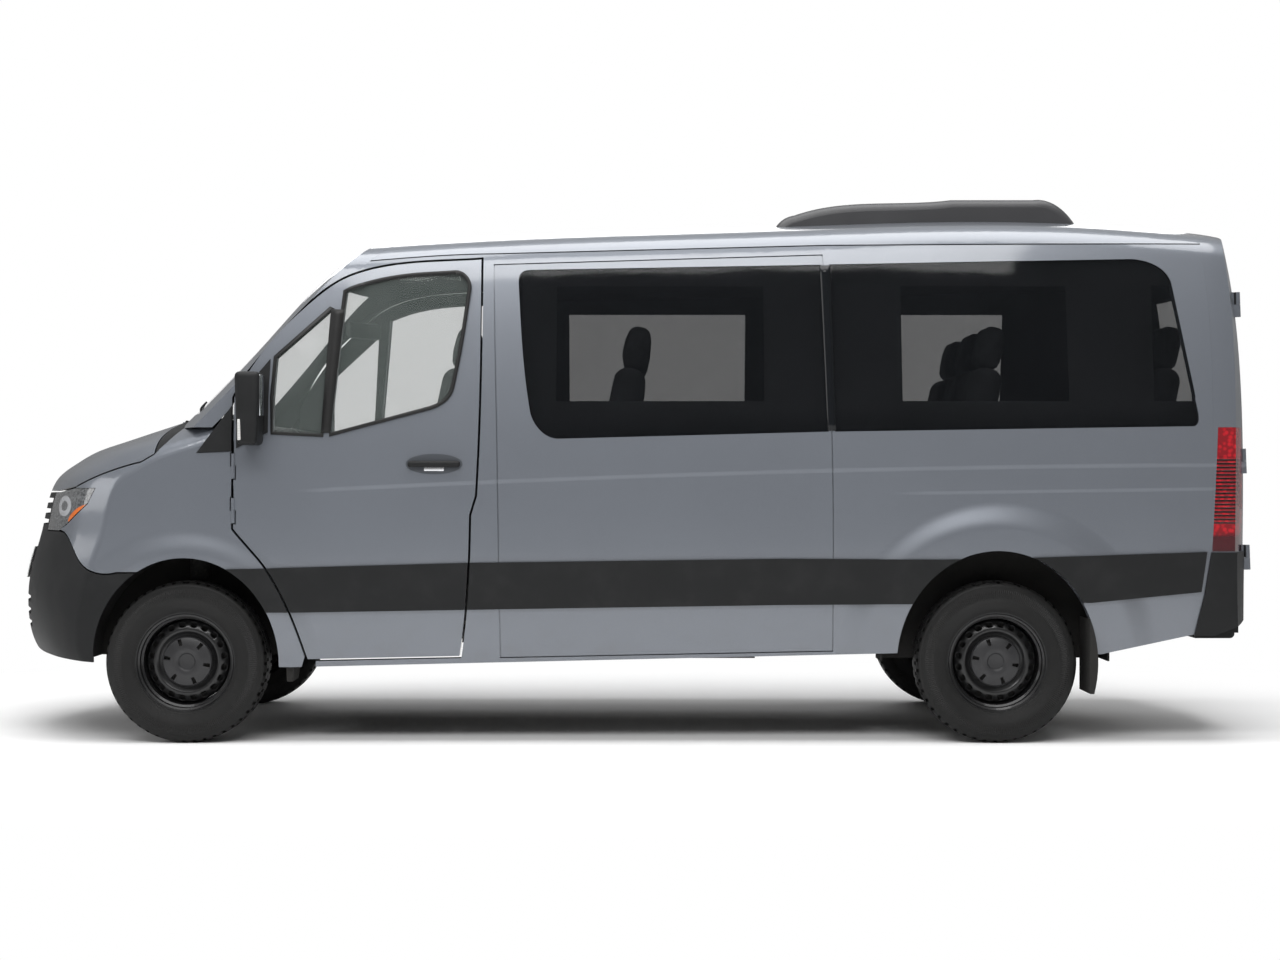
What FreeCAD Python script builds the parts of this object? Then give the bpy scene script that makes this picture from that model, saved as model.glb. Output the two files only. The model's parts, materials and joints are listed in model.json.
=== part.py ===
import FreeCAD, Part
import Sketcher
import math
import os
from types import SimpleNamespace
from FreeCAD import Rotation, Vector

os.makedirs("parts", exist_ok=True)
doc = FreeCAD.newDocument("Minibus")

# Driving dimensions in millimetres, held in the sheet that every piece reads
sizes = {
    # Whole vehicle: axles, overhangs and the box of the body
    "wheelbase": 3665,
    "frontOverhang": 975,
    "rearOverhang": 1260,
    "bodyHalfWidth": 1010,
    "roofHeight": 2438,
    "sillHeight": 345,
    # Body walls and the gaps between panels
    "wallThickness": 60,
    "skinThickness": 22,
    "tailDepth": 100,
    "glassThickness": 6,
    "glassInset": 2,
    "doorGap": 10,
    "seamGap": 5,
    "seamDepth": 9,
    "fitGap": 0.3,
    "doorReturn": 16,
    "hullBelow": 60,
    "overrun": 40,
    "noseRadius": 70,
    "pillarRadius": 90,
    "rearEdgeRadius": 24,
    # Floor, rails and bulkhead
    "floorTop": 700,
    "floorThickness": 60,
    "railHalfSpacing": 400,
    "railWidth": 70,
    "railDepth": 120,
    "railFrontReach": 780,
    "crashBeamDepth": 40,
    "railRearReach": 960,
    "crossMemberWidth": 90,
    "bulkheadBack": 115,
    "bulkheadThickness": 40,
    # Wheels and arches
    "tyreRadius": 366,
    "tyreWidth": 225,
    "wheelOffset": 862,
    "rimRadius": 205,
    "rimLip": 15,
    "rimWidth": 170,
    "rimWall": 9,
    "discDepth": 48,
    "discStepRadius": 130,
    "hubCoverRadius": 88,
    "ventRadius": 14,
    "ventCircle": 168,
    "boreRadius": 36,
    "archRadius": 486,
    "rearArchRadius": 512,
    "archHalfWidth": 422,
    "archHeight": 472,
    "rearArchHalfWidth": 452,
    "rearArchHeight": 504,
    "linerThickness": 8,
    "linerInnerFront": 500,
    "linerInnerRear": 690,
    "flapThickness": 36,
    "flapWidth": 250,
    "flapBottom": 225,
    # Steering and axles
    "kingpinOffset": 759,
    "hubRadius": 70,
    "hubLength": 60,
    "spindleRadius": 34,
    "uprightWidth": 70,
    "uprightHeight": 280,
    "armThickness": 40,
    "armWidth": 110,
    "strutRadius": 32,
    "axleTubeRadius": 55,
    "diffRadius": 165,
    "diffLength": 230,
    "springHalfSpan": 640,
    "springWidth": 70,
    "springThickness": 34,
    "springOffset": 560,
    "hangerLength": 40,
    "coilRadius": 50,
    "coilOffset": 600,
    "coilTopGap": 4,
    # Engine and units below the floor
    "engineLength": 620,
    "engineWidth": 560,
    "engineHeight": 640,
    "engineBottom": 530,
    "radiatorHeight": 550,
    "radiatorBottom": 450,
    "radiatorDepth": 60,
    "radiatorReach": 742,
    "gearboxLength": 560,
    "gearboxWidth": 250,
    "pipeHangerWidth": 30,
    "propHeight": 430,
    "tankPlace": 300,
    "tankLength": 900,
    "tankWidth": 420,
    "tankHeight": 200,
    "propRadius": 45,
    "pipeRadius": 32,
    "pipeOffset": 220,
    "pipeHeight": 470,
    "silencerRadius": 90,
    "silencerLength": 500,
    # Mirrors, handles and side cladding
    "bandProud": 12,
    "mirrorReach": 162,
    "mirrorDepth": 112,
    "mirrorGap": 14,
    "lampDepth": 90,
    "mirrorWidth": 210,
    "handleLength": 245,
    "handleHeight": 42,
    "handleProud": 22,
    "handleThickness": 12,
    # Hinges
    "hingeRadius": 9,
    "hingePinRadius": 5,
    "hingeLength": 56,
    "hingeGap": 5,
    "hingeLeaf": 30,
    "hingeDepth": 24,
    "knuckleGap": 1,
    "runningGap": 0.05,
    "doorAxisOut": 2,
    "rearHingeRadius": 13,
    "rearHingeDepth": 46,
    "rearHingeLeaf": 13,
    "rearAxisPlace": 2856,
    "rearAxisOffset": 845,
    "rearAxisHeight": 700,
    "bonnetHingeOffset": 300,
    "bonnetSweep": 22,
    "bonnetHingeRadius": 7,
    # Roof unit
    "unitHalfWidth": 460,
    "unitEdgeRadius": 40,
    # Cabin
    "seatWidth": 460,
    "seatDepth": 470,
    "seatCushion": 120,
    "seatBackHeight": 560,
    "seatBackThickness": 110,
    "seatBase": 320,
    "headrestHeight": 170,
    "headrestWidth": 260,
    "headrestThickness": 80,
    "headrestGap": 20,
    "wheelRimRadius": 195,
    "wheelRimTube": 15,
    "columnRadius": 28,
    "columnLength": 330,
}
sheet = doc.addObject("Spreadsheet::Sheet", "Sizes")
for row, name in enumerate(sizes, start=1):
    sheet.set("A%d" % row, name)
    sheet.set("B%d" % row, str(sizes[name]))
    sheet.setAlias("B%d" % row, name)
doc.recompute()
size = SimpleNamespace(**{name: float(getattr(sheet, name)) for name in sizes})


class Measure:
    """A number together with the sheet expression that gives it."""

    def __init__(self, value, text):
        self.value = value
        self.text = text

    def join(self, other, sign, result):
        text = other.text if isinstance(other, Measure) else str(other)
        return Measure(result, "(%s %s %s)" % (self.text, sign, text))

    def __add__(self, other):
        return self.join(other, "+", self.value + getattr(other, "value", other))

    def __sub__(self, other):
        return self.join(other, "-", self.value - getattr(other, "value", other))

    def __mul__(self, other):
        return self.join(other, "*", self.value * getattr(other, "value", other))

    def __truediv__(self, other):
        return self.join(other, "/", self.value / getattr(other, "value", other))

    def __neg__(self):
        return Measure(-self.value, "(-1 * %s)" % self.text)


cell = SimpleNamespace(**{name: Measure(getattr(size, name), "Sizes." + name) for name in sizes})

# Places worked out from the driving dimensions
halfBody = (cell.frontOverhang + cell.wheelbase + cell.rearOverhang) / 2
frontPlace = cell.frontOverhang - halfBody
rearPlace = frontPlace + cell.wheelbase
halfLength = halfBody.value
frontAxle = frontPlace.value
rearAxle = rearPlace.value
hubHeight = size.tyreRadius
tall = size.roofHeight
wide = size.bodyHalfWidth
far = 2 * wide
pieces = []


def keep(label, shape):
    """Adds a sub-part whose shape comes from the functions below."""
    piece = doc.addObject("Part::Feature", label)
    piece.Label = label
    piece.Shape = shape
    pieces.append(piece)
    return piece


def mirrored(shape):
    return shape.mirror(Vector(0, 0, 0), Vector(0, 1, 0))


def bothSides(shape):
    return Part.Compound([shape, mirrored(shape)])


def boxAt(low, high):
    return Part.makeBox(high.x - low.x, high.y - low.y, high.z - low.z, low)


def curve(points, pattern=None):
    """Draws a smooth curve; a pattern gives neighbouring curves of a loft the same spacing of knots."""
    line = Part.BSplineCurve()
    if pattern is None:
        line.interpolate(points)
    else:
        knots = [0]
        for first, second in zip(pattern, pattern[1:]):
            knots.append(knots[-1] + first.distanceToPoint(second))
        line.interpolate(Points=points, Parameters=knots)
    return line.toShape()


# Outlines seen from the side: a start and then runs, where a run of one point is straight
# and a longer one is a smooth curve; shares are of half the length and of the roof height
def sidePoint(share):
    return Vector(share[0] * halfLength, 0, share[1] * tall)


def sideOutline(start, *runs):
    """Keeps an outline as its start and its runs of points, in millimetres."""
    return [[sidePoint(start)]] + [[sidePoint(share) for share in run] for run in runs]


def grown(outline, gap):
    """Moves every point of an outline outwards, square to the two sides that meet there."""
    loop = [point for run in outline for point in run]
    if loop[-1].distanceToPoint(loop[0]) < size.fitGap:
        loop.pop()
    turn = sum(a.z * b.x - a.x * b.z for a, b in zip(loop, loop[1:] + loop[:1]))
    gap = math.copysign(gap, turn * gap)
    moved = []
    for before, point, after in zip(loop[-1:] + loop[:-1], loop, loop[1:] + loop[:1]):
        first = (point - before).cross(Vector(0, 1, 0)).normalize()
        second = (after - point).cross(Vector(0, 1, 0)).normalize()
        moved.append(point + (first + second) * (gap / (1 + first.dot(second))))
    moved.append(moved[0])
    result = []
    for run in outline:
        result.append(moved[: len(run)])
        moved = moved[len(run):]
    return result


def faceOf(outline):
    """Makes a face of an outline: a run of one point is straight and a longer one is a curve."""
    edges = []
    last = outline[0][0]
    for run in outline[1:]:
        points = [last] + run
        edges.append(Part.makeLine(points[0], points[1]) if len(points) == 2 else curve(points))
        last = points[-1]
    if last.distanceToPoint(outline[0][0]) > size.fitGap:
        edges.append(Part.makeLine(last, outline[0][0]))
    return Part.Face(Part.Wire(edges))


def sidePrism(outline, gap=0, other=0):
    """Extrudes a side outline, grown by a gap, from the far left to a share of the far right."""
    prism = faceOf(grown(outline, gap)).extrude(Vector(0, (1 + other) * far, 0))
    prism.translate(Vector(0, -far, 0))
    return prism


# Outer form of the body: cross-sections along the length, cut by the windscreen and the tail
sectionShares = [
    (0.930, 0.120), (0.972, 0.215), (0.996, 0.330), (1.000, 0.420), (0.992, 0.558), (0.951, 0.744),
    (0.889, 0.905), (0.868, 0.932), (0.820, 0.952), (0.700, 0.969), (0.400, 0.989),
]
stationShares = [
    (-1.020, 0.860, 0.882), (-0.920, 0.930, 0.898), (-0.780, 0.985, 0.915), (-0.510, 1.000, 0.948),
    (-0.203, 1.000, 0.974), (0.237, 1.000, 0.993), (0.712, 1.000, 1.000), (0.880, 0.996, 0.985),
    (0.955, 0.980, 0.972), (0.990, 0.950, 0.958), (1.020, 0.900, 0.940),
]
fullStation = (0, 1, 1)
screenShares = [
    (-0.841, 0.443), (-0.705, 0.605), (-0.588, 0.751), (-0.481, 0.884), (-0.435, 0.922), (-0.380, 0.951),
    (-0.300, 0.985), (-0.200, 1.020),
]
tailShares = [(0.898, 1.107), (0.951, 0.931), (0.978, 0.697), (0.983, 0.451), (0.983, 0.082)]
noseShares = [
    (-0.936, 0.123), (-0.975, 0.160), (-0.990, 0.230), (-0.985, 0.313), (-0.968, 0.386), (-0.957, 0.447),
    (-0.940, 0.492), (-0.913, 0.518), (-0.881, 0.541), (-0.833, 0.562), (-0.786, 0.581), (-0.743, 0.598),
    (-0.644, 0.634),
]
# How far windscreen, tail and nose sweep away from the centre line, as shares of the half width
sweepShares = [
    (0.000, 0.000, 0.000, 0.000), (0.347, 0.018, 0.005, 0.072), (0.594, 0.059, 0.017, 0.168),
    (0.743, 0.099, 0.042, 0.244), (0.891, 0.153, 0.092, 0.366), (1.090, 0.248, 0.200, 0.594),
]
sweepRows = [(-row[0],) + row[1:] for row in reversed(sweepShares[1:])] + sweepShares


def sectionPoints(station, inset):
    place, width, roof = station
    half = wide * width - inset
    top = tall * roof - inset
    side = [Vector(place * halfLength, half * across, top * up) for across, up in sectionShares]
    crown = Vector(place * halfLength, 0, top)
    return side + [crown] + [Vector(point.x, -point.y, point.z) for point in reversed(side)]


def tube(inset):
    """Makes the full form of the body behind its section curves."""
    wires = []
    pattern = sectionPoints(fullStation, 0)
    for station in stationShares:
        points = sectionPoints(station, inset)
        wires.append(Part.Wire([curve(points, pattern), Part.makeLine(points[-1], points[0])]))
    return Part.makeLoft(wires, True, False)


def tubeWall(outside, inside):
    """Makes the wall between two insets of the section curves, open below."""
    wires = []
    pattern = sectionPoints(fullStation, 0)
    for station in stationShares:
        outer = sectionPoints(station, outside)
        inner = sectionPoints(station, inside)[::-1]
        wires.append(Part.Wire([
            curve(outer, pattern), Part.makeLine(outer[-1], inner[0]),
            curve(inner, pattern[::-1]), Part.makeLine(inner[-1], outer[0]),
        ]))
    return Part.makeLoft(wires, True, False)


def screenPoints(row, inset):
    lean = inset * math.sqrt(2)
    return [Vector(x * halfLength + row[1] * wide + lean, row[0] * wide, z * tall) for x, z in screenShares]


def tailPoints(row, inset):
    return [Vector(x * halfLength - row[2] * wide - inset, row[0] * wide, z * tall) for x, z in tailShares]


def nosePoints(row, inset):
    return [Vector(x * halfLength + row[3] * wide + inset, row[0] * wide, z * tall - inset) for x, z in noseShares]


def strip(place, outside, inside):
    """Makes the wall between two insets of a profile that sweeps across the body."""
    wires = []
    pattern = place(sweepShares[0], 0)
    for row in sweepRows:
        outer = place(row, outside)
        inner = place(row, inside)[::-1]
        wires.append(Part.Wire([
            curve(outer, pattern), Part.makeLine(outer[-1], inner[0]),
            curve(inner, pattern[::-1]), Part.makeLine(inner[-1], outer[0]),
        ]))
    return Part.makeLoft(wires, True, False)


def cabinForm(screenInset, tailInset):
    """Makes what lies between the windscreen and the tail."""
    wires = []
    for row in sweepRows:
        screen = screenPoints(row, screenInset)
        tail = tailPoints(row, tailInset)
        foot = Vector(screen[0].x, screen[0].y, tail[-1].z)
        wires.append(Part.Wire([
            curve(screen, screenPoints(sweepShares[0], 0)), Part.makeLine(screen[-1], tail[0]),
            curve(tail, tailPoints(sweepShares[0], 0)),
            Part.makeLine(tail[-1], foot), Part.makeLine(foot, screen[0]),
        ]))
    return Part.makeLoft(wires, True, False)


def noseHull(inset):
    wires = []
    for row in sweepRows:
        points = nosePoints(row, inset)
        back = Vector(points[-1].x, points[0].y, points[0].z - size.hullBelow)
        front = Vector(points[0].x, points[0].y, points[0].z - size.hullBelow)
        wires.append(Part.Wire([
            curve(points, nosePoints(sweepShares[0], 0)), Part.makeLine(points[-1], back),
            Part.makeLine(back, front),
            Part.makeLine(front, points[0]),
        ]))
    return tube(inset).common(Part.makeLoft(wires, True, False))


def rounded(hull, radius):
    return hull.makeFillet(radius, [edge for edge in hull.Edges if noseEdge(edge)])


def noseEdge(edge):
    box = edge.BoundBox
    return box.ZLength > 0.4 * tall and box.XLength > 0.3 * wide


bodyWall = tubeWall(0, size.wallThickness)
wholeTube = tube(0)
tailRoom = strip(tailPoints, -size.wallThickness, size.tailDepth + size.fitGap)
sideWall = bodyWall.common(cabinForm(size.wallThickness + size.fitGap, 0)).cut(tailRoom)
screenWall = strip(screenPoints, 0, size.wallThickness).common(wholeTube)
tailWall = strip(tailPoints, 0, size.tailDepth).common(wholeTube)
paneWall = tubeWall(size.glassInset, size.glassInset + size.glassThickness)
bandWall = tubeWall(-size.bandProud, -size.fitGap)
seamWall = tubeWall(-size.bandProud, size.seamDepth)
frontHull = rounded(noseHull(0), size.noseRadius)
frontLayer = frontHull.cut(rounded(noseHull(size.skinThickness), size.noseRadius - size.skinThickness))
leftBox = boxAt(Vector(-2 * far, -far, -far), Vector(2 * far, -0.3 * wide, 2 * far))
leftWall = sideWall.common(leftBox)

# Lines of the side, with runs taken from the front to the rear
doorLine = sideOutline(
    (-0.593, 0.398), [(-0.593, 0.640)],
    [(-0.543, 0.738), (-0.478, 0.819), (-0.435, 0.858), (-0.380, 0.882), (-0.315, 0.893), (-0.218, 0.899)],
    [(-0.218, 0.756), (-0.221, 0.561), (-0.225, 0.459)], [(-0.234, 0.423)],
    [(-0.236, 0.334), (-0.241, 0.246), (-0.250, 0.162)], [(-0.482, 0.156)],
    [(-0.497, 0.211), (-0.523, 0.285), (-0.545, 0.329), (-0.564, 0.357), (-0.593, 0.398)],
)
centreLine = sideOutline(
    (-0.186, 0.160), [(-0.188, 0.334), (-0.191, 0.562), (-0.195, 0.756), (-0.197, 0.888)], [(0.306, 0.906)],
    [(0.313, 0.756), (0.318, 0.576), (0.320, 0.343), (0.320, 0.172)],
)
roofLine = sideOutline(
    (-0.520, 0.889), [(-0.400, 0.897)], [(-0.340, 0.903), (-0.280, 0.908), (-0.200, 0.911)],
    [(0.310, 0.9265)], [(0.990, 0.931)], [(0.990, 1.100)], [(-0.520, 1.100)],
)
underLine = sideOutline(
    (-0.860, 0.141), [(-0.502, 0.141)], [(0.241, 0.162)], [(0.418, 0.167)], [(0.732, 0.165)], [(0.873, 0.202)],
    [(1.020, 0.202)], [(1.020, 0.020)], [(-0.860, 0.020)],
)
doorPaneLine = sideOutline(
    (-0.447, 0.573), [(-0.425, 0.838)], [(-0.378, 0.857), (-0.313, 0.869), (-0.262, 0.8715)],
    [(-0.247, 0.869), (-0.2385, 0.857), (-0.2385, 0.835)], [(-0.2455, 0.765), (-0.2545, 0.701), (-0.261, 0.662)],
    [(-0.270, 0.640), (-0.285, 0.627), (-0.302, 0.6205)], [(-0.378, 0.596), (-0.447, 0.573)],
)
quarterPaneLine = sideOutline(
    (-0.459, 0.5715), [(-0.446, 0.806)], [(-0.530, 0.714)], [(-0.534, 0.640)], [(-0.534, 0.576)],
)
sailLine = sideOutline((-0.589, 0.546), [(-0.589, 0.639)], [(-0.539, 0.712)], [(-0.541, 0.640)], [(-0.541, 0.5755)])
cornerPlateLine = sideOutline((-0.5945, 0.5410), [(-0.6490, 0.5385)], [(-0.5945, 0.628)])
sidePaneLine = sideOutline(
    (0.314, 0.577), [(0.304, 0.8885)], [(-0.142, 0.879)], [(-0.156, 0.873), (-0.160, 0.855)],
    [(-0.157, 0.792), (-0.150, 0.688), (-0.141, 0.612)], [(-0.130, 0.585), (-0.111, 0.567), (-0.096, 0.564)],
)
rearPaneLine = sideOutline(
    (0.324, 0.577), [(0.317, 0.889)], [(0.770, 0.899)], [(0.810, 0.893), (0.830, 0.879), (0.843, 0.855)],
    [(0.850, 0.806), (0.864, 0.712), (0.875, 0.641)], [(0.879, 0.603), (0.876, 0.590), (0.868, 0.587)],
)
bandLine = sideOutline(
    (-0.620, 0.243), [(-0.620, 0.3225)], [(-0.537, 0.325)], [(-0.237, 0.335)], [(0.240, 0.3425)], [(0.491, 0.341)],
    [(0.640, 0.345)], [(0.890, 0.355)], [(0.882, 0.281)], [(0.715, 0.261)], [(0.240, 0.257)], [(-0.095, 0.251)],
    [(-0.499, 0.243)],
)
bonnetLine = sideOutline(
    (-1.020, 0.4665), [(-0.900, 0.4665)], [(-0.849, 0.476)], [(-0.822, 0.490), (-0.782, 0.5075), (-0.735, 0.5225)],
    [(-0.715, 0.537)], [(-0.715, 0.700)], [(-1.020, 0.700)],
)
fenderLine = sideOutline(
    (-0.470, 0.398), [(-0.594, 0.410)], [(-0.594, 0.5405)], [(-0.650, 0.5375)], [(-0.622, 0.585)], [(-0.683, 0.585)],
    [(-0.705, 0.548), (-0.715, 0.534)], [(-0.735, 0.5195)], [(-0.782, 0.5045), (-0.822, 0.487), (-0.849, 0.4730)],
    [(-0.809, 0.4730)], [(-0.822, 0.443)], [(-0.862, 0.404)], [(-0.878, 0.3945)], [(-0.866, 0.391)],
    [(-0.846, 0.362), (-0.827, 0.331), (-0.815, 0.322), (-0.773, 0.318)], [(-0.741, 0.318)], [(-0.741, 0.100)],
    [(-0.470, 0.100)],
)
bumperLine = sideOutline(
    (-1.020, 0.388), [(-0.878, 0.3905)], [(-0.866, 0.388)],
    [(-0.846, 0.359), (-0.827, 0.328), (-0.815, 0.319), (-0.773, 0.315)], [(-0.741, 0.315)], [(-0.741, 0.143)],
    [(-0.900, 0.157)],
    [(-1.020, 0.161)],
)
lampLine = sideOutline(
    (-1.020, 0.4635), [(-0.893, 0.4635)], [(-0.849, 0.4722)], [(-0.8105, 0.4722)],
    [(-0.822, 0.4455)], [(-0.862, 0.4065)], [(-0.880, 0.3925)], [(-1.020, 0.3910)],
)
tailLampLine = sideOutline((0.9085, 0.585), [(0.8985, 0.356)], [(1.020, 0.356)], [(1.020, 0.585)])
bumperRearLine = sideOutline(
    (0.897, 0.354), [(0.887, 0.276)], [(0.873, 0.200)], [(0.905, 0.200)], [(1.020, 0.255)], [(1.020, 0.354)],
)


def arch(radius, place):
    return Part.makeCylinder(radius, 2 * far, Vector(place, -far, hubHeight), Vector(0, 1, 0))


def opening(place, half, high):
    """Makes the wheel opening of the panels, taller than it is wide."""
    middle = Vector(place, -far, hubHeight)
    line = Part.Ellipse(middle + Vector(0, 0, high), middle + Vector(half, 0, 0), middle)
    return Part.Face(Part.Wire(line.toShape())).extrude(Vector(0, 2 * far, 0))


def rearOutline(start, *runs):
    """Makes a prism along the body of an outline seen from the rear, in shares of its half width and height."""
    points = [start] + list(runs) + [start]
    wire = Part.makePolygon([Vector(0, across * wide, up * tall) for across, up in points])
    return Part.Face(wire)


def lengthPrism(face, low, high):
    prism = face.extrude(Vector((high - low) * halfLength, 0, 0))
    prism.translate(Vector(low * halfLength, 0, 0))
    return prism


frontArch = opening(frontAxle, size.archHalfWidth, size.archHeight)
rearArch = opening(rearAxle, size.rearArchHalfWidth, size.rearArchHeight)
below = sidePrism(underLine, 0, 1)
fit = size.fitGap

# Side walls with their pillars, sills and window frames
sides = leftWall.cut([
    sidePrism(doorLine, size.doorGap), sidePrism(centreLine, fit), sidePrism(roofLine), below, frontArch, rearArch,
    sidePrism(rearPaneLine, fit), sidePrism(fenderLine, fit), sidePrism(bumperRearLine, fit),
])
sides = sides.cut([
    seamWall.common(sidePrism(centreLine, size.seamGap)), seamWall.common(sidePrism(roofLine, size.seamGap)),
])
sides = max(sides.Solids, key=lambda solid: solid.Volume)
keep("body_sides", bothSides(sides))

# Left centre panel and, on the right, the sliding door of the same outline
centre = leftWall.common(sidePrism(centreLine)).cut([below, sidePrism(sidePaneLine, fit)])
keep("centre_panel", centre)
keep("sliding_door", mirrored(centre))

# Roof between its two gutters
roof = sideWall.common(sidePrism(roofLine, -fit, 1))
keep("roof", roof)

# Windscreen frame with both front pillars, and the windscreen in it
screenFace = rearOutline((-0.80, 0.612), (-0.665, 0.882), (0.665, 0.882), (0.80, 0.612))
screenHole = lengthPrism(screenFace, -0.9, -0.3)
doorHole = sidePrism(doorLine, size.doorGap)
wingHole = sidePrism(fenderLine, fit)
pillars = screenWall.cut([screenHole, wingHole, mirrored(wingHole), doorHole, mirrored(doorHole)])
pillars = pillars.cut([
    boxAt(Vector(-2 * far, -far, -far), Vector(0, far, 0.565 * tall)), sidePrism(bonnetLine, size.seamGap, 1),
])
pillars = max(pillars.Solids, key=lambda solid: solid.Volume)
keep("windscreen_frame", pillars)
screen = strip(screenPoints, size.glassInset, size.glassInset + size.glassThickness)
keep("windscreen", screen.common(lengthPrism(screenFace.makeOffset2D(-fit), -0.9, -0.3)))

# Rear frame round the two doors, cut for the lamps and the bumper corners
tailHoleFace = rearOutline(
    (-0.833, 0.238), (-0.833, 0.850), (-0.790, 0.922), (0.790, 0.922), (0.833, 0.850), (0.833, 0.238),
)
cornerBox = boxAt(Vector(0, -far, 0), Vector(2 * far, -0.852 * wide, far))
lampHole = sidePrism(tailLampLine, fit).common(cornerBox)
cornerHole = sidePrism(bumperRearLine, fit).common(cornerBox)
frameBottom = boxAt(Vector(0, -far, 0), Vector(2 * far, far, 0.238 * tall))
rearFrame = tailWall.cut([
    lengthPrism(tailHoleFace, 0.80, 1.1), frameBottom, lampHole, mirrored(lampHole), cornerHole, mirrored(cornerHole),
])
lampBox = boxAt(Vector(0, -far, 0), Vector(2 * far, -0.852 * wide - fit, far))
tailLamp = tailWall.common(sidePrism(tailLampLine)).common(lampBox)
keep("tail_lamps", bothSides(tailLamp))

# Rear doors, left one from its outline and right one mirrored, each with its pane
rearDoorFace = rearOutline((-0.825, 0.246), (-0.825, 0.848), (-0.787, 0.914), (-0.004, 0.914), (-0.004, 0.246))
rearPaneFace = rearOutline((-0.735, 0.600), (-0.705, 0.868), (-0.075, 0.868), (-0.075, 0.600))
rearDoorWall = strip(tailPoints, 0, size.wallThickness)
rearDoor = rearDoorWall.common(lengthPrism(rearDoorFace, 0.80, 1.1))
rearDoor = rearDoor.cut(lengthPrism(rearPaneFace, 0.80, 1.1))
rearPane = strip(tailPoints, size.glassInset, size.glassInset + size.glassThickness)
rearPane = rearPane.common(lengthPrism(rearPaneFace.makeOffset2D(-fit), 0.80, 1.1))

# Front door with its two panes, the black sail before them, the cladding band and the handle
door = bodyWall.common(sidePrism(doorLine))
door = door.cut([sidePrism(doorPaneLine, fit), sidePrism(quarterPaneLine, fit)])
doorPane = paneWall.common(sidePrism(doorPaneLine))
quarterPane = paneWall.common(sidePrism(quarterPaneLine))
doorBand = bandWall.common(sidePrism(bandLine)).common(sidePrism(doorLine))
sail = tubeWall(-size.glassThickness, -fit).common(sidePrism(sailLine))


def handle():
    """Makes the pull: a rounded bar on two feet that stand on the door skin."""
    middle = Vector(-0.286 * halfLength, -wide + size.bandProud, 0.517 * tall)
    long = size.handleLength / 2
    high = size.handleHeight / 4
    bar = boxAt(
        middle + Vector(-long, -size.handleProud - size.handleThickness, -high),
        middle + Vector(long, -size.handleProud, high),
    )
    bar = bar.makeFillet(high / 2, bar.Edges)
    feet = [
        boxAt(
            middle + Vector(end * long * 0.8 - high, -size.handleProud - size.handleThickness / 2, -high / 2),
            middle + Vector(end * long * 0.8 + high, size.wallThickness / 2, high / 2),
        )
        for end in (-1, 1)
    ]
    return bar.fuse(feet).cut(tubeSkin)


def mirror():
    """Makes the housing on its arm, which stands on the sail."""
    front = -0.5825 * halfLength
    inner = -wide + size.bandProud
    outer = -wide - size.mirrorReach
    low, high = 0.5515 * tall, 0.685 * tall
    housing = boxAt(Vector(front, outer, low), Vector(front + size.mirrorDepth, outer + size.mirrorWidth, high))
    housing = housing.makeFillet(size.mirrorDepth / 4, housing.Edges)
    return housing


tubeSkin = tube(-fit)
handleSolid = handle()
housing = mirror().cut(tube(-size.mirrorGap))
arm = boxAt(
    Vector(-0.575 * halfLength, -wide - size.mirrorGap * 2, 0.572 * tall),
    Vector(-0.555 * halfLength, -0.93 * wide, 0.612 * tall),
).cut(tube(-size.glassThickness - fit))
mirrorSolid = housing.fuse(arm)

# Front wings, bonnet, grille, bumper and headlamps from the nose
wing = frontLayer.common(sidePrism(fenderLine)).cut([
    frontArch, below, sidePrism(doorLine, size.doorGap), boxAt(Vector(-2 * far, -far, 0), Vector(0, far, far)).common(
        boxAt(Vector(-2 * far, -0.3 * wide, 0), Vector(0, 2 * far, far))),
])
wing = max(wing.Solids, key=lambda solid: solid.Volume)


def spanBox(first, second, gap=0):
    """Makes the box between two opposite corners, grown by a gap."""
    low = Vector(min(first.x, second.x) - gap, min(first.y, second.y) - gap, min(first.z, second.z) - gap)
    high = Vector(max(first.x, second.x) + gap, max(first.y, second.y) + gap, max(first.z, second.z) + gap)
    return boxAt(low, high)


def hinge(start, line, radius, fixedSide, movingSide):
    """Makes two leaves on one pin, and the room that each one needs in the other's panel."""
    long = size.hingeLength
    gap = size.hingeGap
    middle = start + line * (long + size.knuckleGap)
    fixedEnd = start + fixedSide + line * long
    movingEnd = middle + movingSide + line * long
    pin = Part.makeCylinder(size.hingePinRadius, 2 * long, start, line)
    bore = Part.makeCylinder(size.hingePinRadius + size.runningGap, 3 * long, start, line)
    fixed = Part.makeCylinder(radius, long, start, line).fuse([spanBox(start, fixedEnd), pin])
    moving = Part.makeCylinder(radius, long, middle, line).fuse(spanBox(middle, movingEnd)).cut(bore)
    reach = long + 2 * gap
    fixedRoom = Part.makeCylinder(radius + gap, reach, start - line * gap, line).fuse(spanBox(start, fixedEnd, gap))
    movingRoom = Part.makeCylinder(radius + gap, reach, middle - line * gap, line).fuse(spanBox(middle, movingEnd, gap))
    return SimpleNamespace(fixed=fixed, moving=moving, bore=bore, fixedRoom=fixedRoom, movingRoom=movingRoom)


def hung(panel, frame, hinges):
    """Cuts a moving panel and its frame for each other's leaves, then adds the leaves."""
    panel = panel.cut([leaf.fixedRoom for leaf in hinges] + [leaf.bore for leaf in hinges])
    panel = panel.fuse([leaf.moving for leaf in hinges])
    frame = frame.cut([leaf.movingRoom for leaf in hinges]).fuse([leaf.fixed for leaf in hinges])
    return panel, frame


def heightOn(base, line, height):
    """Finds the point of an upright axis at a height."""
    return base + line * ((height - base.z) / line.z)


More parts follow.
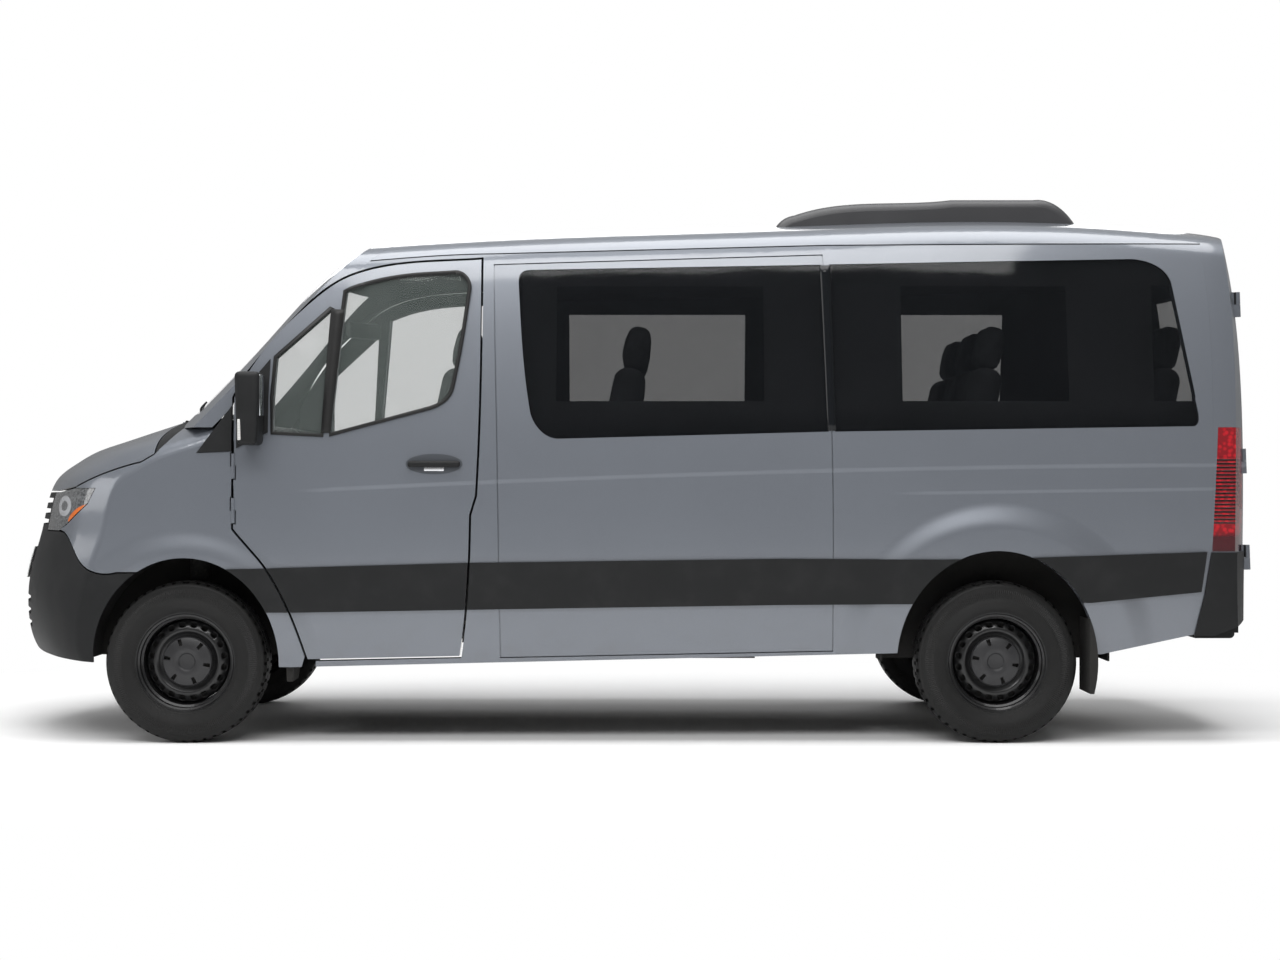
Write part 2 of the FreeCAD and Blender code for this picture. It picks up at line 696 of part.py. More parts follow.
# Front door axis, leaning with the side, and its two hinges on the wing
doorAxisBase = Vector(-0.5936 * halfLength, -wide - size.doorAxisOut, 0.398 * tall)
doorAxisLine = Vector(0, 0.04, 1).normalize()
doorHinges = [
    hinge(heightOn(doorAxisBase, doorAxisLine, share * tall), doorAxisLine, size.hingeRadius,
          Vector(-size.hingeLeaf, size.hingeDepth, 0), Vector(size.hingeLeaf, size.hingeDepth, 0))
    for share in (0.408, 0.490)
]
door, wing = hung(door, wing, doorHinges)
keep("front_wings", bothSides(wing))
keep("door_left", door)
keep("door_right", mirrored(door))
doorGlass = Part.Compound([doorPane, quarterPane])
keep("door_glass_left", doorGlass)
keep("door_glass_right", mirrored(doorGlass))
doorTrim = Part.Compound(sail.Solids + doorBand.Solids + handleSolid.Solids + mirrorSolid.Solids)
keep("door_trim_left", doorTrim)
keep("door_trim_right", mirrored(doorTrim))

# Rear doors, each on three hinges at the corner post
rearAxisBase = Vector(size.rearAxisPlace, -size.rearAxisOffset, size.rearAxisHeight)
rearAxisLine = Vector(-0.0386, 0, 1).normalize()
rearHinges = [
    hinge(heightOn(rearAxisBase, rearAxisLine, share * tall), rearAxisLine, size.rearHingeRadius,
          Vector(-size.rearHingeDepth, -size.rearHingeLeaf, 0), Vector(-size.rearHingeDepth, size.hingeLeaf, 0))
    for share in (0.320, 0.500, 0.793)
]
rearDoor, rearFrame = hung(rearDoor, rearFrame, rearHinges)
otherHinges = [
    SimpleNamespace(fixed=mirrored(leaf.fixed), movingRoom=mirrored(leaf.movingRoom))
    for leaf in rearHinges
]
rearFrame = rearFrame.cut([leaf.movingRoom for leaf in otherHinges]).fuse([leaf.fixed for leaf in otherHinges])
keep("rear_frame", rearFrame)
keep("rear_door_left", rearDoor)
keep("rear_door_right", mirrored(rearDoor))
keep("rear_glass_left", rearPane)
keep("rear_glass_right", mirrored(rearPane))

bonnet = frontLayer.common(sidePrism(bonnetLine, 0, 1))
bonnet = max(bonnet.Solids, key=lambda solid: solid.Volume)
bumper = frontLayer.common(sidePrism(bumperLine, 0, 1)).cut(frontArch)
intakeFace = rearOutline((-0.470, 0.190), (-0.520, 0.275), (0.520, 0.275), (0.470, 0.190))
intake = lengthPrism(intakeFace, -1.1, -0.8).cut(noseHull(size.skinThickness + fit))
# A crash beam behind the bumper stands on the ends of the rails
railLow = size.floorTop - size.floorThickness - size.railDepth
railEnd = frontAxle - size.railFrontReach
crashBeam = boxAt(
    Vector(railEnd - size.crashBeamDepth, -0.60 * wide, railLow),
    Vector(railEnd - fit, 0.60 * wide, railLow + size.railDepth),
).common(noseHull(size.skinThickness / 2))
bumper = bumper.fuse(crashBeam).cut(intake)
keep("front_bumper", bumper)
lampSpan = boxAt(Vector(-2 * far, -far, 0), Vector(0, -0.535 * wide, far))
headLamp = frontHull.common(sidePrism(lampLine)).common(lampSpan).cut([noseHull(size.lampDepth), wingHole])
headLamp = max(headLamp.Solids, key=lambda solid: solid.Volume)
keep("headlamps", bothSides(headLamp))


def slats(face, low, high, count, share):
    """Makes a grille of the nose wall: a rim and level slats across the outline."""
    whole = frontLayer.common(lengthPrism(face, -1.1, -0.8))
    pitch = (high - low) / (count + 0.5)
    slots = [
        boxAt(
            Vector(-2 * far, -share * wide, low + pitch * (number + 0.5)),
            Vector(0, share * wide, low + pitch * (number + 1)),
        )
        for number in range(count)
    ]
    return whole.cut(slots)


grilleFace = rearOutline((-0.530, 0.3800), (-0.530, 0.4630), (0.530, 0.4630), (0.530, 0.3800))
upper = slats(grilleFace, 0.3915 * tall, 0.4630 * tall, 3, 0.50).cut(sidePrism(bumperLine, fit, 1))
upper = max(upper.Solids, key=lambda solid: solid.Volume)
lower = slats(intakeFace.makeOffset2D(-fit), 0.190 * tall, 0.275 * tall, 3, 0.44)
keep("grille", Part.Compound([upper] + lower.Solids))

# Rear bumper: two corners under the lamps and a step between them, as far back as the nose is forward
corner = sidePrism(bumperRearLine).common(lampBox).common(tube(-size.bandProud))
corner = corner.common(cabinForm(0, -size.bandProud))
rearFace = -frontHull.optimalBoundingBox().XMin
beamBack = 0.945 * halfLength
step = boxAt(
    Vector(beamBack - size.wallThickness, -0.39 * wide, 0.178 * tall),
    Vector(rearFace, 0.39 * wide, 0.238 * tall - fit),
)
step = step.makeFillet(size.wallThickness / 2, [edge for edge in step.Edges if edge.BoundBox.XMin > rearFace - fit])
beam = boxAt(
    Vector(rearAxle + size.railRearReach + fit, -0.92 * wide, 0.204 * tall),
    Vector(beamBack, 0.92 * wide, 0.238 * tall - fit),
)
keep("rear_bumper", step.fuse([beam, corner, mirrored(corner)]))


# Roof unit: its side profile drawn across, rounded and set down on the crown of the roof
unitLine = sideOutline(
    (0.245, 0.950), [(0.245, 0.980), (0.255, 0.994), (0.275, 1.004)], [(0.323, 1.019), (0.394, 1.027), (0.527, 1.034)],
    [(0.660, 1.034)], [(0.687, 1.030), (0.708, 1.014), (0.728, 0.985)], [(0.728, 0.950)],
)
unit = faceOf(unitLine).extrude(Vector(0, 2 * size.unitHalfWidth, 0))
unit.translate(Vector(0, -size.unitHalfWidth, 0))
unit = unit.makeFillet(size.unitEdgeRadius, [
    edge for edge in unit.Edges if edge.BoundBox.YLength < fit and edge.BoundBox.ZMax > 0.98 * tall
])
keep("roof_unit", unit.cut(tube(-fit)))

# Floor between the walls, its rails and cross members
postFront = tailPoints(sweepShares[-1], size.tailDepth)[-1].x
floorForm = tube(size.wallThickness + fit).common(boxAt(
    Vector(frontAxle + size.bulkheadBack, -far, size.floorTop - size.floorThickness),
    Vector(0.930 * halfLength, far, size.floorTop),
))
rails = [
    boxAt(
        Vector(frontAxle - size.railFrontReach, sign * size.railHalfSpacing - size.railWidth / 2, railLow),
        Vector(rearAxle + size.railRearReach, sign * size.railHalfSpacing + size.railWidth / 2, railLow + size.railDepth),
    )
    for sign in (-1, 1)
]
memberShares = (-0.40, -0.12, 0.15, 0.38, 0.80)
members = [
    boxAt(
        Vector(share * halfLength, -0.9 * wide, railLow + size.railDepth / 2),
        Vector(share * halfLength + size.crossMemberWidth, 0.9 * wide, railLow + size.railDepth),
    )
    for share in memberShares
]
frontArchRoom = arch(size.archRadius + size.linerThickness, frontAxle)
rearArchRoom = arch(size.rearArchRadius + size.linerThickness, rearAxle)
middle = boxAt(Vector(-far * 2, -size.linerInnerRear, 0), Vector(far * 2, size.linerInnerRear, far))
floorForm = floorForm.cut(rearArchRoom.cut(middle))
frontMiddle = boxAt(Vector(-far * 2, -size.linerInnerFront, 0), Vector(far * 2, size.linerInnerFront, far))
postRoom = boxAt(Vector(postFront, -far, 0), Vector(2 * far, -0.833 * wide + fit, far))
floorForm = floorForm.cut([
    frontArchRoom.cut(frontMiddle), cornerHole, mirrored(cornerHole), postRoom, mirrored(postRoom),
])
members = [member.common(tube(size.wallThickness + fit)) for member in members]
keep("floor", floorForm.fuse(rails + members))


# Arch liners: a curved sheet over each wheel with a flat wall inside it
def liner(radius, place, inner, top):
    ring = across(radius + size.linerThickness, place, -wide * 0.935, -inner).cut(
        across(radius, place, -wide, -inner - size.linerThickness))
    return ring.common(boxAt(Vector(-2 * far, -far, top), Vector(2 * far, far, far)))


def across(radius, place, near, other):
    return Part.makeCylinder(radius, other - near, Vector(place, near, hubHeight), Vector(0, 1, 0))


linerFront = liner(size.archRadius, frontAxle, size.linerInnerFront + fit, hubHeight)
linerRear = liner(size.rearArchRadius, rearAxle, size.linerInnerRear + fit, hubHeight)
liners = Part.Compound([linerFront, linerRear]).common(tube(size.wallThickness + fit))
liners = liners.cut([
    across(size.hubRadius + 2 * size.hingeGap, rearAxle, -wide, 0),
    boxAt(
        Vector(frontAxle - size.coilRadius, -wide, 0),
        Vector(frontAxle + size.coilRadius, 0, hubHeight + size.uprightHeight / 2 + size.armThickness + size.hingeGap),
    ),
])
keep("arch_liners", Part.Compound(liners.Solids + mirrored(liners).Solids))

# Bulkhead with the cowl panel
bulkhead = boxAt(
    Vector(frontAxle + size.bulkheadBack - size.bulkheadThickness, -far, size.floorTop - size.floorThickness),
    Vector(frontAxle + size.bulkheadBack - fit, far, 0.585 * tall),
).common(tube(size.wallThickness + fit)).cut([
    frontArchRoom.cut(frontMiddle), strip(screenPoints, -far, size.wallThickness), wing, mirrored(wing),
])
bulkhead = max(bulkhead.Solids, key=lambda solid: solid.Volume)
keep("bulkhead", bulkhead)

# Cowl between the bonnet and the windscreen, with the bonnet's hinges in its front edge
cowlPlace = -0.7125 * halfLength
cowl = frontLayer.common(boxAt(Vector(cowlPlace, -far, 0.5 * tall), Vector(-0.60 * halfLength, far, far)))
bonnetTop = max(
    frontHull.common(boxAt(
        Vector(cowlPlace - size.seamGap, size.bonnetHingeOffset, 0),
        Vector(cowlPlace, size.bonnetHingeOffset + fit, far),
    )).Vertexes, key=lambda vertex: vertex.Z).Z
bonnetHinges = [
    hinge(Vector(cowlPlace - size.seamGap / 2, side * size.bonnetHingeOffset, bonnetTop), Vector(0, 1, 0),
          size.bonnetHingeRadius, Vector(size.hingeLeaf, 0, -size.hingeDepth), Vector(-size.hingeLeaf, 0, -size.hingeDepth))
    for side in (-1, 1)
]
cowl = cowl.cut(Part.makeCylinder(
    size.bonnetSweep, 2 * far, Vector(cowlPlace - size.seamGap / 2, -far, bonnetTop), Vector(0, 1, 0)))
bonnet, cowl = hung(bonnet, cowl, bonnetHinges)
cowl = cowl.cut([cabinForm(-fit, 0), wingHole, mirrored(wingHole)])
cowl = max(cowl.Solids, key=lambda solid: solid.Volume)
keep("bonnet", bonnet)
keep("cowl", cowl)

# Side glass and the cladding band along the body
sidePane = paneWall.common(sidePrism(sidePaneLine))
rearSidePane = paneWall.common(sidePrism(rearPaneLine))
keep("side_glass", Part.Compound([sidePane, rearSidePane, mirrored(sidePane), mirrored(rearSidePane)]))
band = bandWall.common(sidePrism(bandLine)).cut([
    sidePrism(doorLine, size.doorGap), frontArch, rearArch,
])
plate = tubeWall(-size.glassThickness, size.skinThickness).common(sidePrism(cornerPlateLine))
plate = plate.common(leftBox).cut([pillars, wing, doorHole])
plate = max(plate.Solids, key=lambda solid: solid.Volume)
bandSolids = band.Solids + [plate]
keep("body_bands", Part.Compound(bandSolids + [mirrored(solid) for solid in bandSolids]))

# Mud flaps behind the wheels: the front ones hang from the liners, the rear ones from the panel's edge
def flap(near, other, top):
    return boxAt(
        Vector(near, -size.wheelOffset - size.flapWidth / 2, size.flapBottom),
        Vector(other, -size.wheelOffset + size.flapWidth / 2, top),
    )


frontFlap = flap(frontAxle + size.archRadius - 2 * size.linerThickness - size.flapThickness / 2,
                 frontAxle + size.archRadius, tall)
frontFlap = frontFlap.common(arch(size.archRadius - fit, frontAxle)).common(tube(size.skinThickness + fit))
rearFlap = flap(rearAxle + size.rearArchHalfWidth - size.flapThickness, rearAxle + size.rearArchRadius, 0.26 * tall)
rearFlap = rearFlap.common(opening(rearAxle, size.rearArchHalfWidth - fit, size.rearArchHeight - fit))
flaps = [frontFlap, rearFlap]
keep("mud_flaps", Part.Compound(flaps + [mirrored(solid) for solid in flaps]))

# Dashboard on the back of the bulkhead, with the hole of the steering column
seatStep = cell.seatWidth + cell.headrestGap
frontSeat = frontPlace + cell.springHalfSpan
columnTilt = Rotation(Vector(0, 1, 0), 30)
wheelPlace = frontSeat - cell.seatBackThickness / 2
wheelHeight = cell.floorTop + cell.seatBackHeight + cell.seatCushion / 2
columnFoot = (wheelPlace - cell.columnLength / 2, -seatStep, wheelHeight - cell.columnLength * 0.86)
dashLine = sideOutline(
    (-0.640, 0.380), [(-0.640, 0.560)], [(-0.600, 0.590), (-0.560, 0.592), (-0.530, 0.575)],
    [(-0.505, 0.540), (-0.500, 0.500), (-0.515, 0.470)], [(-0.560, 0.380)],
)
dash = sidePrism(dashLine, 0, 1).common(boxAt(
    Vector(frontAxle + size.bulkheadBack, -0.88 * wide, 0), Vector(0, 0.88 * wide, far),
))
columnHole = Part.makeCylinder(
    size.columnRadius + fit, size.columnLength, Vector(*[place.value for place in columnFoot]),
    columnTilt.multVec(Vector(0, 0, 1)),
)
dash = dash.cut([strip(screenPoints, -far, size.wallThickness + fit), frontArchRoom, columnHole])
keep("dashboard", dash)


def sketchOf(body, role, points):
    """Draws a closed outline on one of the body's planes, every point bound to the sheet."""
    sketch = body.newObject("Sketcher::SketchObject", body.Name + "Outline")
    plane = [feature for feature in body.Origin.OriginFeatures if feature.Role == role][0]
    sketch.AttachmentSupport = [(plane, "")]
    sketch.MapMode = "FlatFace"
    count = len(points)
    for index, (across, along) in enumerate(points):
        following = points[(index + 1) % count]
        sketch.addGeometry(Part.LineSegment(
            Vector(across.value, along.value, 0), Vector(following[0].value, following[1].value, 0)), False)
    for index in range(count):
        sketch.addConstraint(Sketcher.Constraint("Coincident", index, 2, (index + 1) % count, 1))
    for index, (across, along) in enumerate(points):
        for kind, amount in (("DistanceX", across), ("DistanceY", along)):
            number = sketch.addConstraint(Sketcher.Constraint(kind, -1, 1, index, 1, amount.value))
            sketch.setExpression("Constraints[%d]" % number, amount.text)
    return sketch


def turned(label, points):
    """Turns an outline of radius and width round the wheel's axle."""
    body = doc.addObject("PartDesign::Body", label)
    body.Label = label
    sketch = sketchOf(body, "XY_Plane", points)
    solid = body.newObject("PartDesign::Revolution", label + "Turn")
    solid.Profile = sketch
    solid.ReferenceAxis = (sketch, ["V_Axis"])
    solid.Angle = 360
    doc.recompute()
    return body


# Tyre and rim outlines: radius and width, as shares of the radius and of the tyre's width
tyreShares = [(0.607, 0.142), (0.618, 0.075), (0.690, 0.016), (0.790, 0.000), (0.895, 0.030), (0.957, 0.090),
              (0.987, 0.185), (1.000, 0.350)]
rimShares = [
    (1.075, 0.076), (1.075, 0.116), (1.000, 0.140), (1.000, 0.265), (0.913, 0.347), (0.913, 0.524), (1.000, 0.613),
    (1.000, 0.862), (1.075, 0.884), (1.075, 0.924), (1.030, 0.924), (0.958, 0.853), (0.958, 0.711), (0.655, 0.711),
    (0.621, 0.631), (0.550, 0.631), (0.550, 0.747), (0.485, 0.782), (0.233, 0.782), (0.214, 0.844), (0.097, 0.871),
    (0.000, 0.871), (0.000, 0.533), (0.607, 0.560), (0.645, 0.667), (0.922, 0.667), (0.922, 0.595),
    (0.869, 0.533), (0.869, 0.338), (0.956, 0.258), (0.956, 0.133), (1.030, 0.116), (1.030, 0.076),
]


def tyreOutline():
    outer = [(cell.tyreRadius * radius, cell.tyreWidth * width) for radius, width in tyreShares]
    other = [(cell.tyreRadius * radius, cell.tyreWidth * (1 - width)) for radius, width in reversed(tyreShares)]
    bead = cell.rimRadius + cell.fitGap
    start = [(bead, cell.tyreWidth * tyreShares[0][1])]
    end = [(bead, cell.tyreWidth * (1 - tyreShares[0][1]))]
    return start + outer + other + end


def wheel(label, place, sign):
    """Makes one tyre and its rim, turned with the dish outwards and set on the axle's end."""
    tyre = turned("tyre_" + label, tyreOutline())
    rim = turned("rim_" + label, [(cell.rimRadius * radius, cell.tyreWidth * width) for radius, width in rimShares])
    vent = rim.newObject("Sketcher::SketchObject", rim.Name + "Vent")
    plane = [feature for feature in rim.Origin.OriginFeatures if feature.Role == "XZ_Plane"][0]
    vent.AttachmentSupport = [(plane, "")]
    vent.MapMode = "FlatFace"
    vent.addGeometry(Part.Circle(Vector(size.ventCircle, 0, 0), Vector(0, 0, 1), size.ventRadius), False)
    vent.addConstraint(Sketcher.Constraint("PointOnObject", 0, 3, -1))
    reach = vent.addConstraint(Sketcher.Constraint("DistanceX", -1, 1, 0, 3, size.ventCircle))
    vent.setExpression("Constraints[%d]" % reach, cell.ventCircle.text)
    bore = vent.addConstraint(Sketcher.Constraint("Radius", 0, size.ventRadius))
    vent.setExpression("Constraints[%d]" % bore, cell.ventRadius.text)
    hole = rim.newObject("PartDesign::Pocket", rim.Name + "Hole")
    hole.Profile = vent
    hole.Type = "ThroughAll"
    hole.Reversed = False
    doc.recompute()
    ring = rim.newObject("PartDesign::PolarPattern", rim.Name + "Ring")
    ring.Originals = [hole]
    ring.Axis = (vent, ["N_Axis"])
    ring.Angle = 360
    ring.Occurrences = 20
    rim.Tip = ring
    doc.recompute()
    for body in (tyre, rim):
        body.Placement = FreeCAD.Placement(Vector(0, 0, 0), Rotation(Vector(0, 0, 1), 0 if sign > 0 else 180))
        body.setExpression("Placement.Base.x", place.text)
        body.setExpression("Placement.Base.y", ((cell.wheelOffset - cell.tyreWidth / 2) * sign).text)
        body.setExpression("Placement.Base.z", cell.tyreRadius.text)
        pieces.append(body)


for label, place, sign in (
    ("front_left", frontPlace, -1), ("front_right", frontPlace, 1), ("rear_left", rearPlace, -1), ("rear_right", rearPlace, 1),
):
    wheel(label, place, sign)


def primitive(kind, name, x, y, z, turn=None, **measures):
    """Adds a primitive whose sizes and place are bound to the sheet."""
    solid = doc.addObject("Part::" + kind, name)
    if turn:
        solid.Placement = FreeCAD.Placement(Vector(0, 0, 0), turn)
    for axis, amount in zip("xyz", (x, y, z)):
        solid.setExpression("Placement.Base." + axis, amount.text)
    for key, amount in measures.items():
        solid.setExpression(key, amount.text)
    return solid


def joined(label, parts):
    """Fuses primitives into one sub-part."""
    solid = doc.addObject("Part::MultiFuse", label)
    solid.Label = label
    solid.Shapes = parts
    pieces.append(solid)
    return solid


alongY = Rotation(Vector(1, 0, 0), -90)
alongX = Rotation(Vector(0, 1, 0), 90)
zero = cell.fitGap * 0
kingpin = cell.kingpinOffset
hubTop = cell.tyreRadius + cell.uprightHeight / 2
hubLow = cell.tyreRadius - cell.uprightHeight / 2
# The wheel's mounting face, where the hub's flange meets the disc
hubFace = cell.wheelOffset + cell.tyreWidth * 0.033 - cell.fitGap

# Steering knuckles: an upright on the kingpin line with the wheel's hub
for label, sign in (("left", -1), ("right", 1)):
    post = primitive("Cylinder", "upright_" + label, frontPlace, kingpin * sign, hubLow, Radius=cell.spindleRadius, Height=cell.uprightHeight)
    hubEnd = hubFace if sign > 0 else -kingpin
    hubLength = hubFace - kingpin
    hub = primitive("Cylinder", "hub_" + label, frontPlace, (kingpin if sign > 0 else -hubFace), cell.tyreRadius, alongY,
                    Radius=cell.hubRadius, Height=hubLength)
    joined("knuckle_" + label, [post, hub])

# Front subframe: a cross member between the rails with two arms to each knuckle and a spring leg
memberTop = cell.floorTop - cell.floorThickness - cell.railDepth - cell.fitGap
armInner = cell.railHalfSpacing - cell.railWidth / 2
parts = [primitive(
    "Box", "cross_beam", frontPlace - cell.armWidth / 2, -armInner - cell.railWidth, hubLow - cell.armThickness - cell.fitGap,
    Length=cell.armWidth, Width=(armInner + cell.railWidth) * 2, Height=memberTop - hubLow + cell.armThickness + cell.fitGap,
)]
for label, sign in (("left", -1), ("right", 1)):
    for name, level in (("low", hubLow - cell.armThickness - cell.fitGap), ("high", hubTop + cell.fitGap)):
        inner = armInner if name == "low" else armInner + cell.railWidth + cell.fitGap
        parts.append(primitive(
            "Box", "arm_%s_%s" % (name, label), frontPlace - cell.spindleRadius, inner if sign > 0 else -kingpin, level,
            Length=cell.spindleRadius * 2, Width=kingpin - inner, Height=cell.armThickness,
        ))
        parts.append(primitive(
            "Cylinder", "ball_%s_%s" % (name, label), frontPlace, kingpin * sign, level,
            Radius=cell.spindleRadius, Height=cell.armThickness,
        ))
joined("front_subframe", parts)
doc.recompute()

for label, sign in (("left", -1), ("right", 1)):
    parts.append(primitive(
        "Cylinder", "coil_" + label, frontPlace, cell.coilOffset * sign, hubLow - cell.fitGap,
        Radius=cell.coilRadius, Height=cell.archRadius + cell.uprightHeight / 2 - cell.coilTopGap,
    ))
subframe = [piece for piece in pieces if piece.Label == "front_subframe"][0]
subframe.Shapes = parts

# Rear axle: tube, differential housing, hubs, leaf springs and their hangers
hubInner = cell.kingpinOffset - cell.hubRadius
parts = [
    primitive("Cylinder", "axle_tube", rearPlace, -hubInner, cell.tyreRadius, alongY, Radius=cell.axleTubeRadius, Height=hubInner * 2),
    primitive("Sphere", "differential", rearPlace, zero, cell.tyreRadius, Radius=cell.diffRadius),
]
springLow = cell.tyreRadius + cell.axleTubeRadius - cell.fitGap
hangerHeight = cell.floorTop - cell.floorThickness - cell.fitGap - springLow
for label, sign in (("left", -1), ("right", 1)):
    parts.append(primitive(
        "Cylinder", "rear_hub_" + label, rearPlace, (hubInner if sign > 0 else -hubFace), cell.tyreRadius, alongY,
        Radius=cell.hubRadius, Height=hubFace - hubInner,
    ))
    parts.append(primitive(
        "Box", "leaf_" + label, rearPlace - cell.springHalfSpan, cell.springOffset * sign - cell.springWidth / 2, springLow,
        Length=cell.springHalfSpan * 2, Width=cell.springWidth, Height=cell.springThickness,
    ))
    for name, place in (("front", rearPlace - cell.springHalfSpan), ("back", rearPlace + cell.springHalfSpan - cell.hangerLength)):
        parts.append(primitive(
            "Box", "hanger_%s_%s" % (name, label), place, cell.springOffset * sign - cell.springWidth / 2, springLow,
            Length=cell.hangerLength, Width=cell.springWidth, Height=hangerHeight,
        ))
joined("rear_axle", parts)

# Engine block and radiator
engineBack = frontPlace + cell.bulkheadBack - cell.bulkheadThickness - cell.fitGap
engine = primitive(
    "Box", "engine", engineBack - cell.engineLength, -cell.engineWidth / 2, cell.engineBottom,
    Length=cell.engineLength, Width=cell.engineWidth, Height=cell.engineHeight,
)
pieces.append(engine)
radiator = primitive(
    "Box", "radiator", frontPlace - cell.radiatorReach, cell.fitGap - armInner, cell.radiatorBottom,
    Length=cell.radiatorDepth, Width=(armInner - cell.fitGap) * 2, Height=cell.radiatorHeight,
)
pieces.append(radiator)

# Gearbox with the propeller shaft to the rear axle
gearFront = frontPlace + cell.bulkheadBack
floorLow = cell.floorTop - cell.floorThickness - cell.fitGap
memberLow = floorLow - cell.railDepth / 2
propStart = gearFront + cell.gearboxLength - cell.fitGap
joined("driveline", [
    primitive("Box", "gearbox", gearFront, -cell.gearboxWidth / 2, cell.propHeight - cell.propRadius,
              Length=cell.gearboxLength, Width=cell.gearboxWidth, Height=floorLow - cell.propHeight + cell.propRadius),
    primitive("Cylinder", "prop_shaft", propStart, zero, cell.propHeight, alongX,
              Radius=cell.propRadius, Height=rearPlace - cell.diffRadius - cell.fitGap - propStart),
])

# Exhaust along the right of the shaft, and the fuel tank on the left
silencerPlace = rearPlace + cell.springHalfSpan / 2
joined("exhaust", [
    primitive("Cylinder", "pipe", gearFront, cell.pipeOffset, cell.pipeHeight, alongX,
              Radius=cell.pipeRadius, Height=rearPlace + cell.railRearReach - gearFront - cell.pipeRadius),
    primitive("Cylinder", "silencer", silencerPlace, cell.pipeOffset, cell.pipeHeight, alongX,
              Radius=cell.silencerRadius, Height=cell.silencerLength),
] + [
    primitive("Box", name, halfBody * share + cell.pipeHangerWidth, cell.pipeOffset - cell.pipeHangerWidth / 2, cell.pipeHeight,
              Length=cell.pipeHangerWidth, Width=cell.pipeHangerWidth, Height=memberLow - cell.pipeHeight)
    for name, share in (("pipe_hanger", memberShares[1]), ("silencer_hanger", memberShares[4]))
])
tank = primitive(
    "Box", "fuel_tank", -cell.tankPlace, -(cell.railHalfSpacing + cell.railWidth + cell.tankWidth),
    cell.floorTop - cell.floorThickness - cell.railDepth / 2 - cell.fitGap - cell.tankHeight,
    Length=cell.tankLength, Width=cell.tankWidth, Height=cell.tankHeight,
)
pieces.append(tank)

# Seats: plinth, cushion, leaning back and headrest of each place
backLean = Rotation(Vector(0, 1, 0), 12)


def seat(name, place, offset):
    low = cell.floorTop + cell.fitGap
    cushionLow = low + cell.seatBase
    backFoot = place + cell.seatDepth
    return [
        primitive("Box", name + "_base", place + cell.seatCushion, offset - cell.headrestWidth / 2, low,
                  Length=cell.seatDepth - cell.seatCushion, Width=cell.headrestWidth, Height=cell.seatBase + cell.fitGap),
        primitive("Box", name + "_cushion", place, offset - cell.seatWidth / 2, cushionLow,
                  Length=cell.seatDepth, Width=cell.seatWidth, Height=cell.seatCushion),
        primitive("Box", name + "_back", backFoot - cell.seatBackThickness / 2, offset - cell.seatWidth / 2, cushionLow, backLean,
                  Length=cell.seatBackThickness, Width=cell.seatWidth, Height=cell.seatBackHeight + cell.seatCushion),
        primitive("Box", name + "_headrest", backFoot + cell.seatBackHeight * 0.22, offset - cell.headrestWidth / 2,
                  cushionLow + cell.seatBackHeight + cell.seatCushion - cell.headrestGap * 2, backLean,
                  Length=cell.headrestThickness, Width=cell.headrestWidth, Height=cell.headrestHeight + cell.headrestGap),
    ]


joined("front_seats", seat("driver", frontSeat, -seatStep) + seat("passenger", frontSeat, seatStep))
parts = []
rowPitch = cell.wheelbase * 0.225
for row in range(4):
    place = frontSeat + cell.seatDepth + cell.seatBackThickness * 3 + rowPitch * row
    for number, shift in enumerate((-1.15, -0.10, 1.15)):
        parts += seat("bench_%d_%d" % (row, number), place, seatStep * shift)
joined("passenger_benches", parts)

# Steering wheel on its column
joined("steering_wheel", [
    primitive("Torus", "wheel_ring", wheelPlace, -seatStep, wheelHeight, columnTilt,
              Radius1=cell.wheelRimRadius, Radius2=cell.wheelRimTube),
    primitive("Box", "wheel_spoke", wheelPlace - cell.columnRadius, -seatStep - cell.wheelRimRadius, wheelHeight,
              Length=cell.columnRadius * 2, Width=cell.wheelRimRadius * 2, Height=cell.wheelRimTube),
    primitive("Cylinder", "column", *columnFoot, columnTilt, Radius=cell.columnRadius, Height=cell.columnLength),
])
doc.recompute()

# Every sub-part is checked, then written to its own file
for item in doc.Objects:
    if "Invalid" in item.State or "Error" in item.State:
        raise RuntimeError("not rebuilt: " + item.Name)
for piece in pieces:
    if piece.Shape.isNull() or not piece.Shape.isValid() or not piece.Shape.Solids:
        raise RuntimeError("bad shape: " + piece.Label)
    piece.Shape.exportStep("parts/" + piece.Label + ".step")
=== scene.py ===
import bmesh
import bpy
import json
import math
from mathutils import Matrix, Vector, geometry


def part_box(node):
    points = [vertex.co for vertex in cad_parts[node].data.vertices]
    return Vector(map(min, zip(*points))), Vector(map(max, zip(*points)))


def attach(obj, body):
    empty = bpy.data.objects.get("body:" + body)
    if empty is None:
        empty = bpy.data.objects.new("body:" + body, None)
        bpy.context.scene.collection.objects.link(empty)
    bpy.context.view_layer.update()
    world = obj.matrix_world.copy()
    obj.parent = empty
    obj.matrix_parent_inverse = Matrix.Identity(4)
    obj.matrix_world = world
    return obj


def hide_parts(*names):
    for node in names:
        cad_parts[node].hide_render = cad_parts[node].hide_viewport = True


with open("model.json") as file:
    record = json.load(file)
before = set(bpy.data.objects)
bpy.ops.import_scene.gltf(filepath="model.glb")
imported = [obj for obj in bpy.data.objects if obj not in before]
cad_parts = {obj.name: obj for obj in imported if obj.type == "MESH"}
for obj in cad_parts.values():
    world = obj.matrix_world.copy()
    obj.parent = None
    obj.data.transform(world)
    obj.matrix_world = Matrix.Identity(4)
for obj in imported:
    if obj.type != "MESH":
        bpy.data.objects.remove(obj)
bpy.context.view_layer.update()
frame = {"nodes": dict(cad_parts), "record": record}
nodes = frame["nodes"]
print("stage: frame loaded")


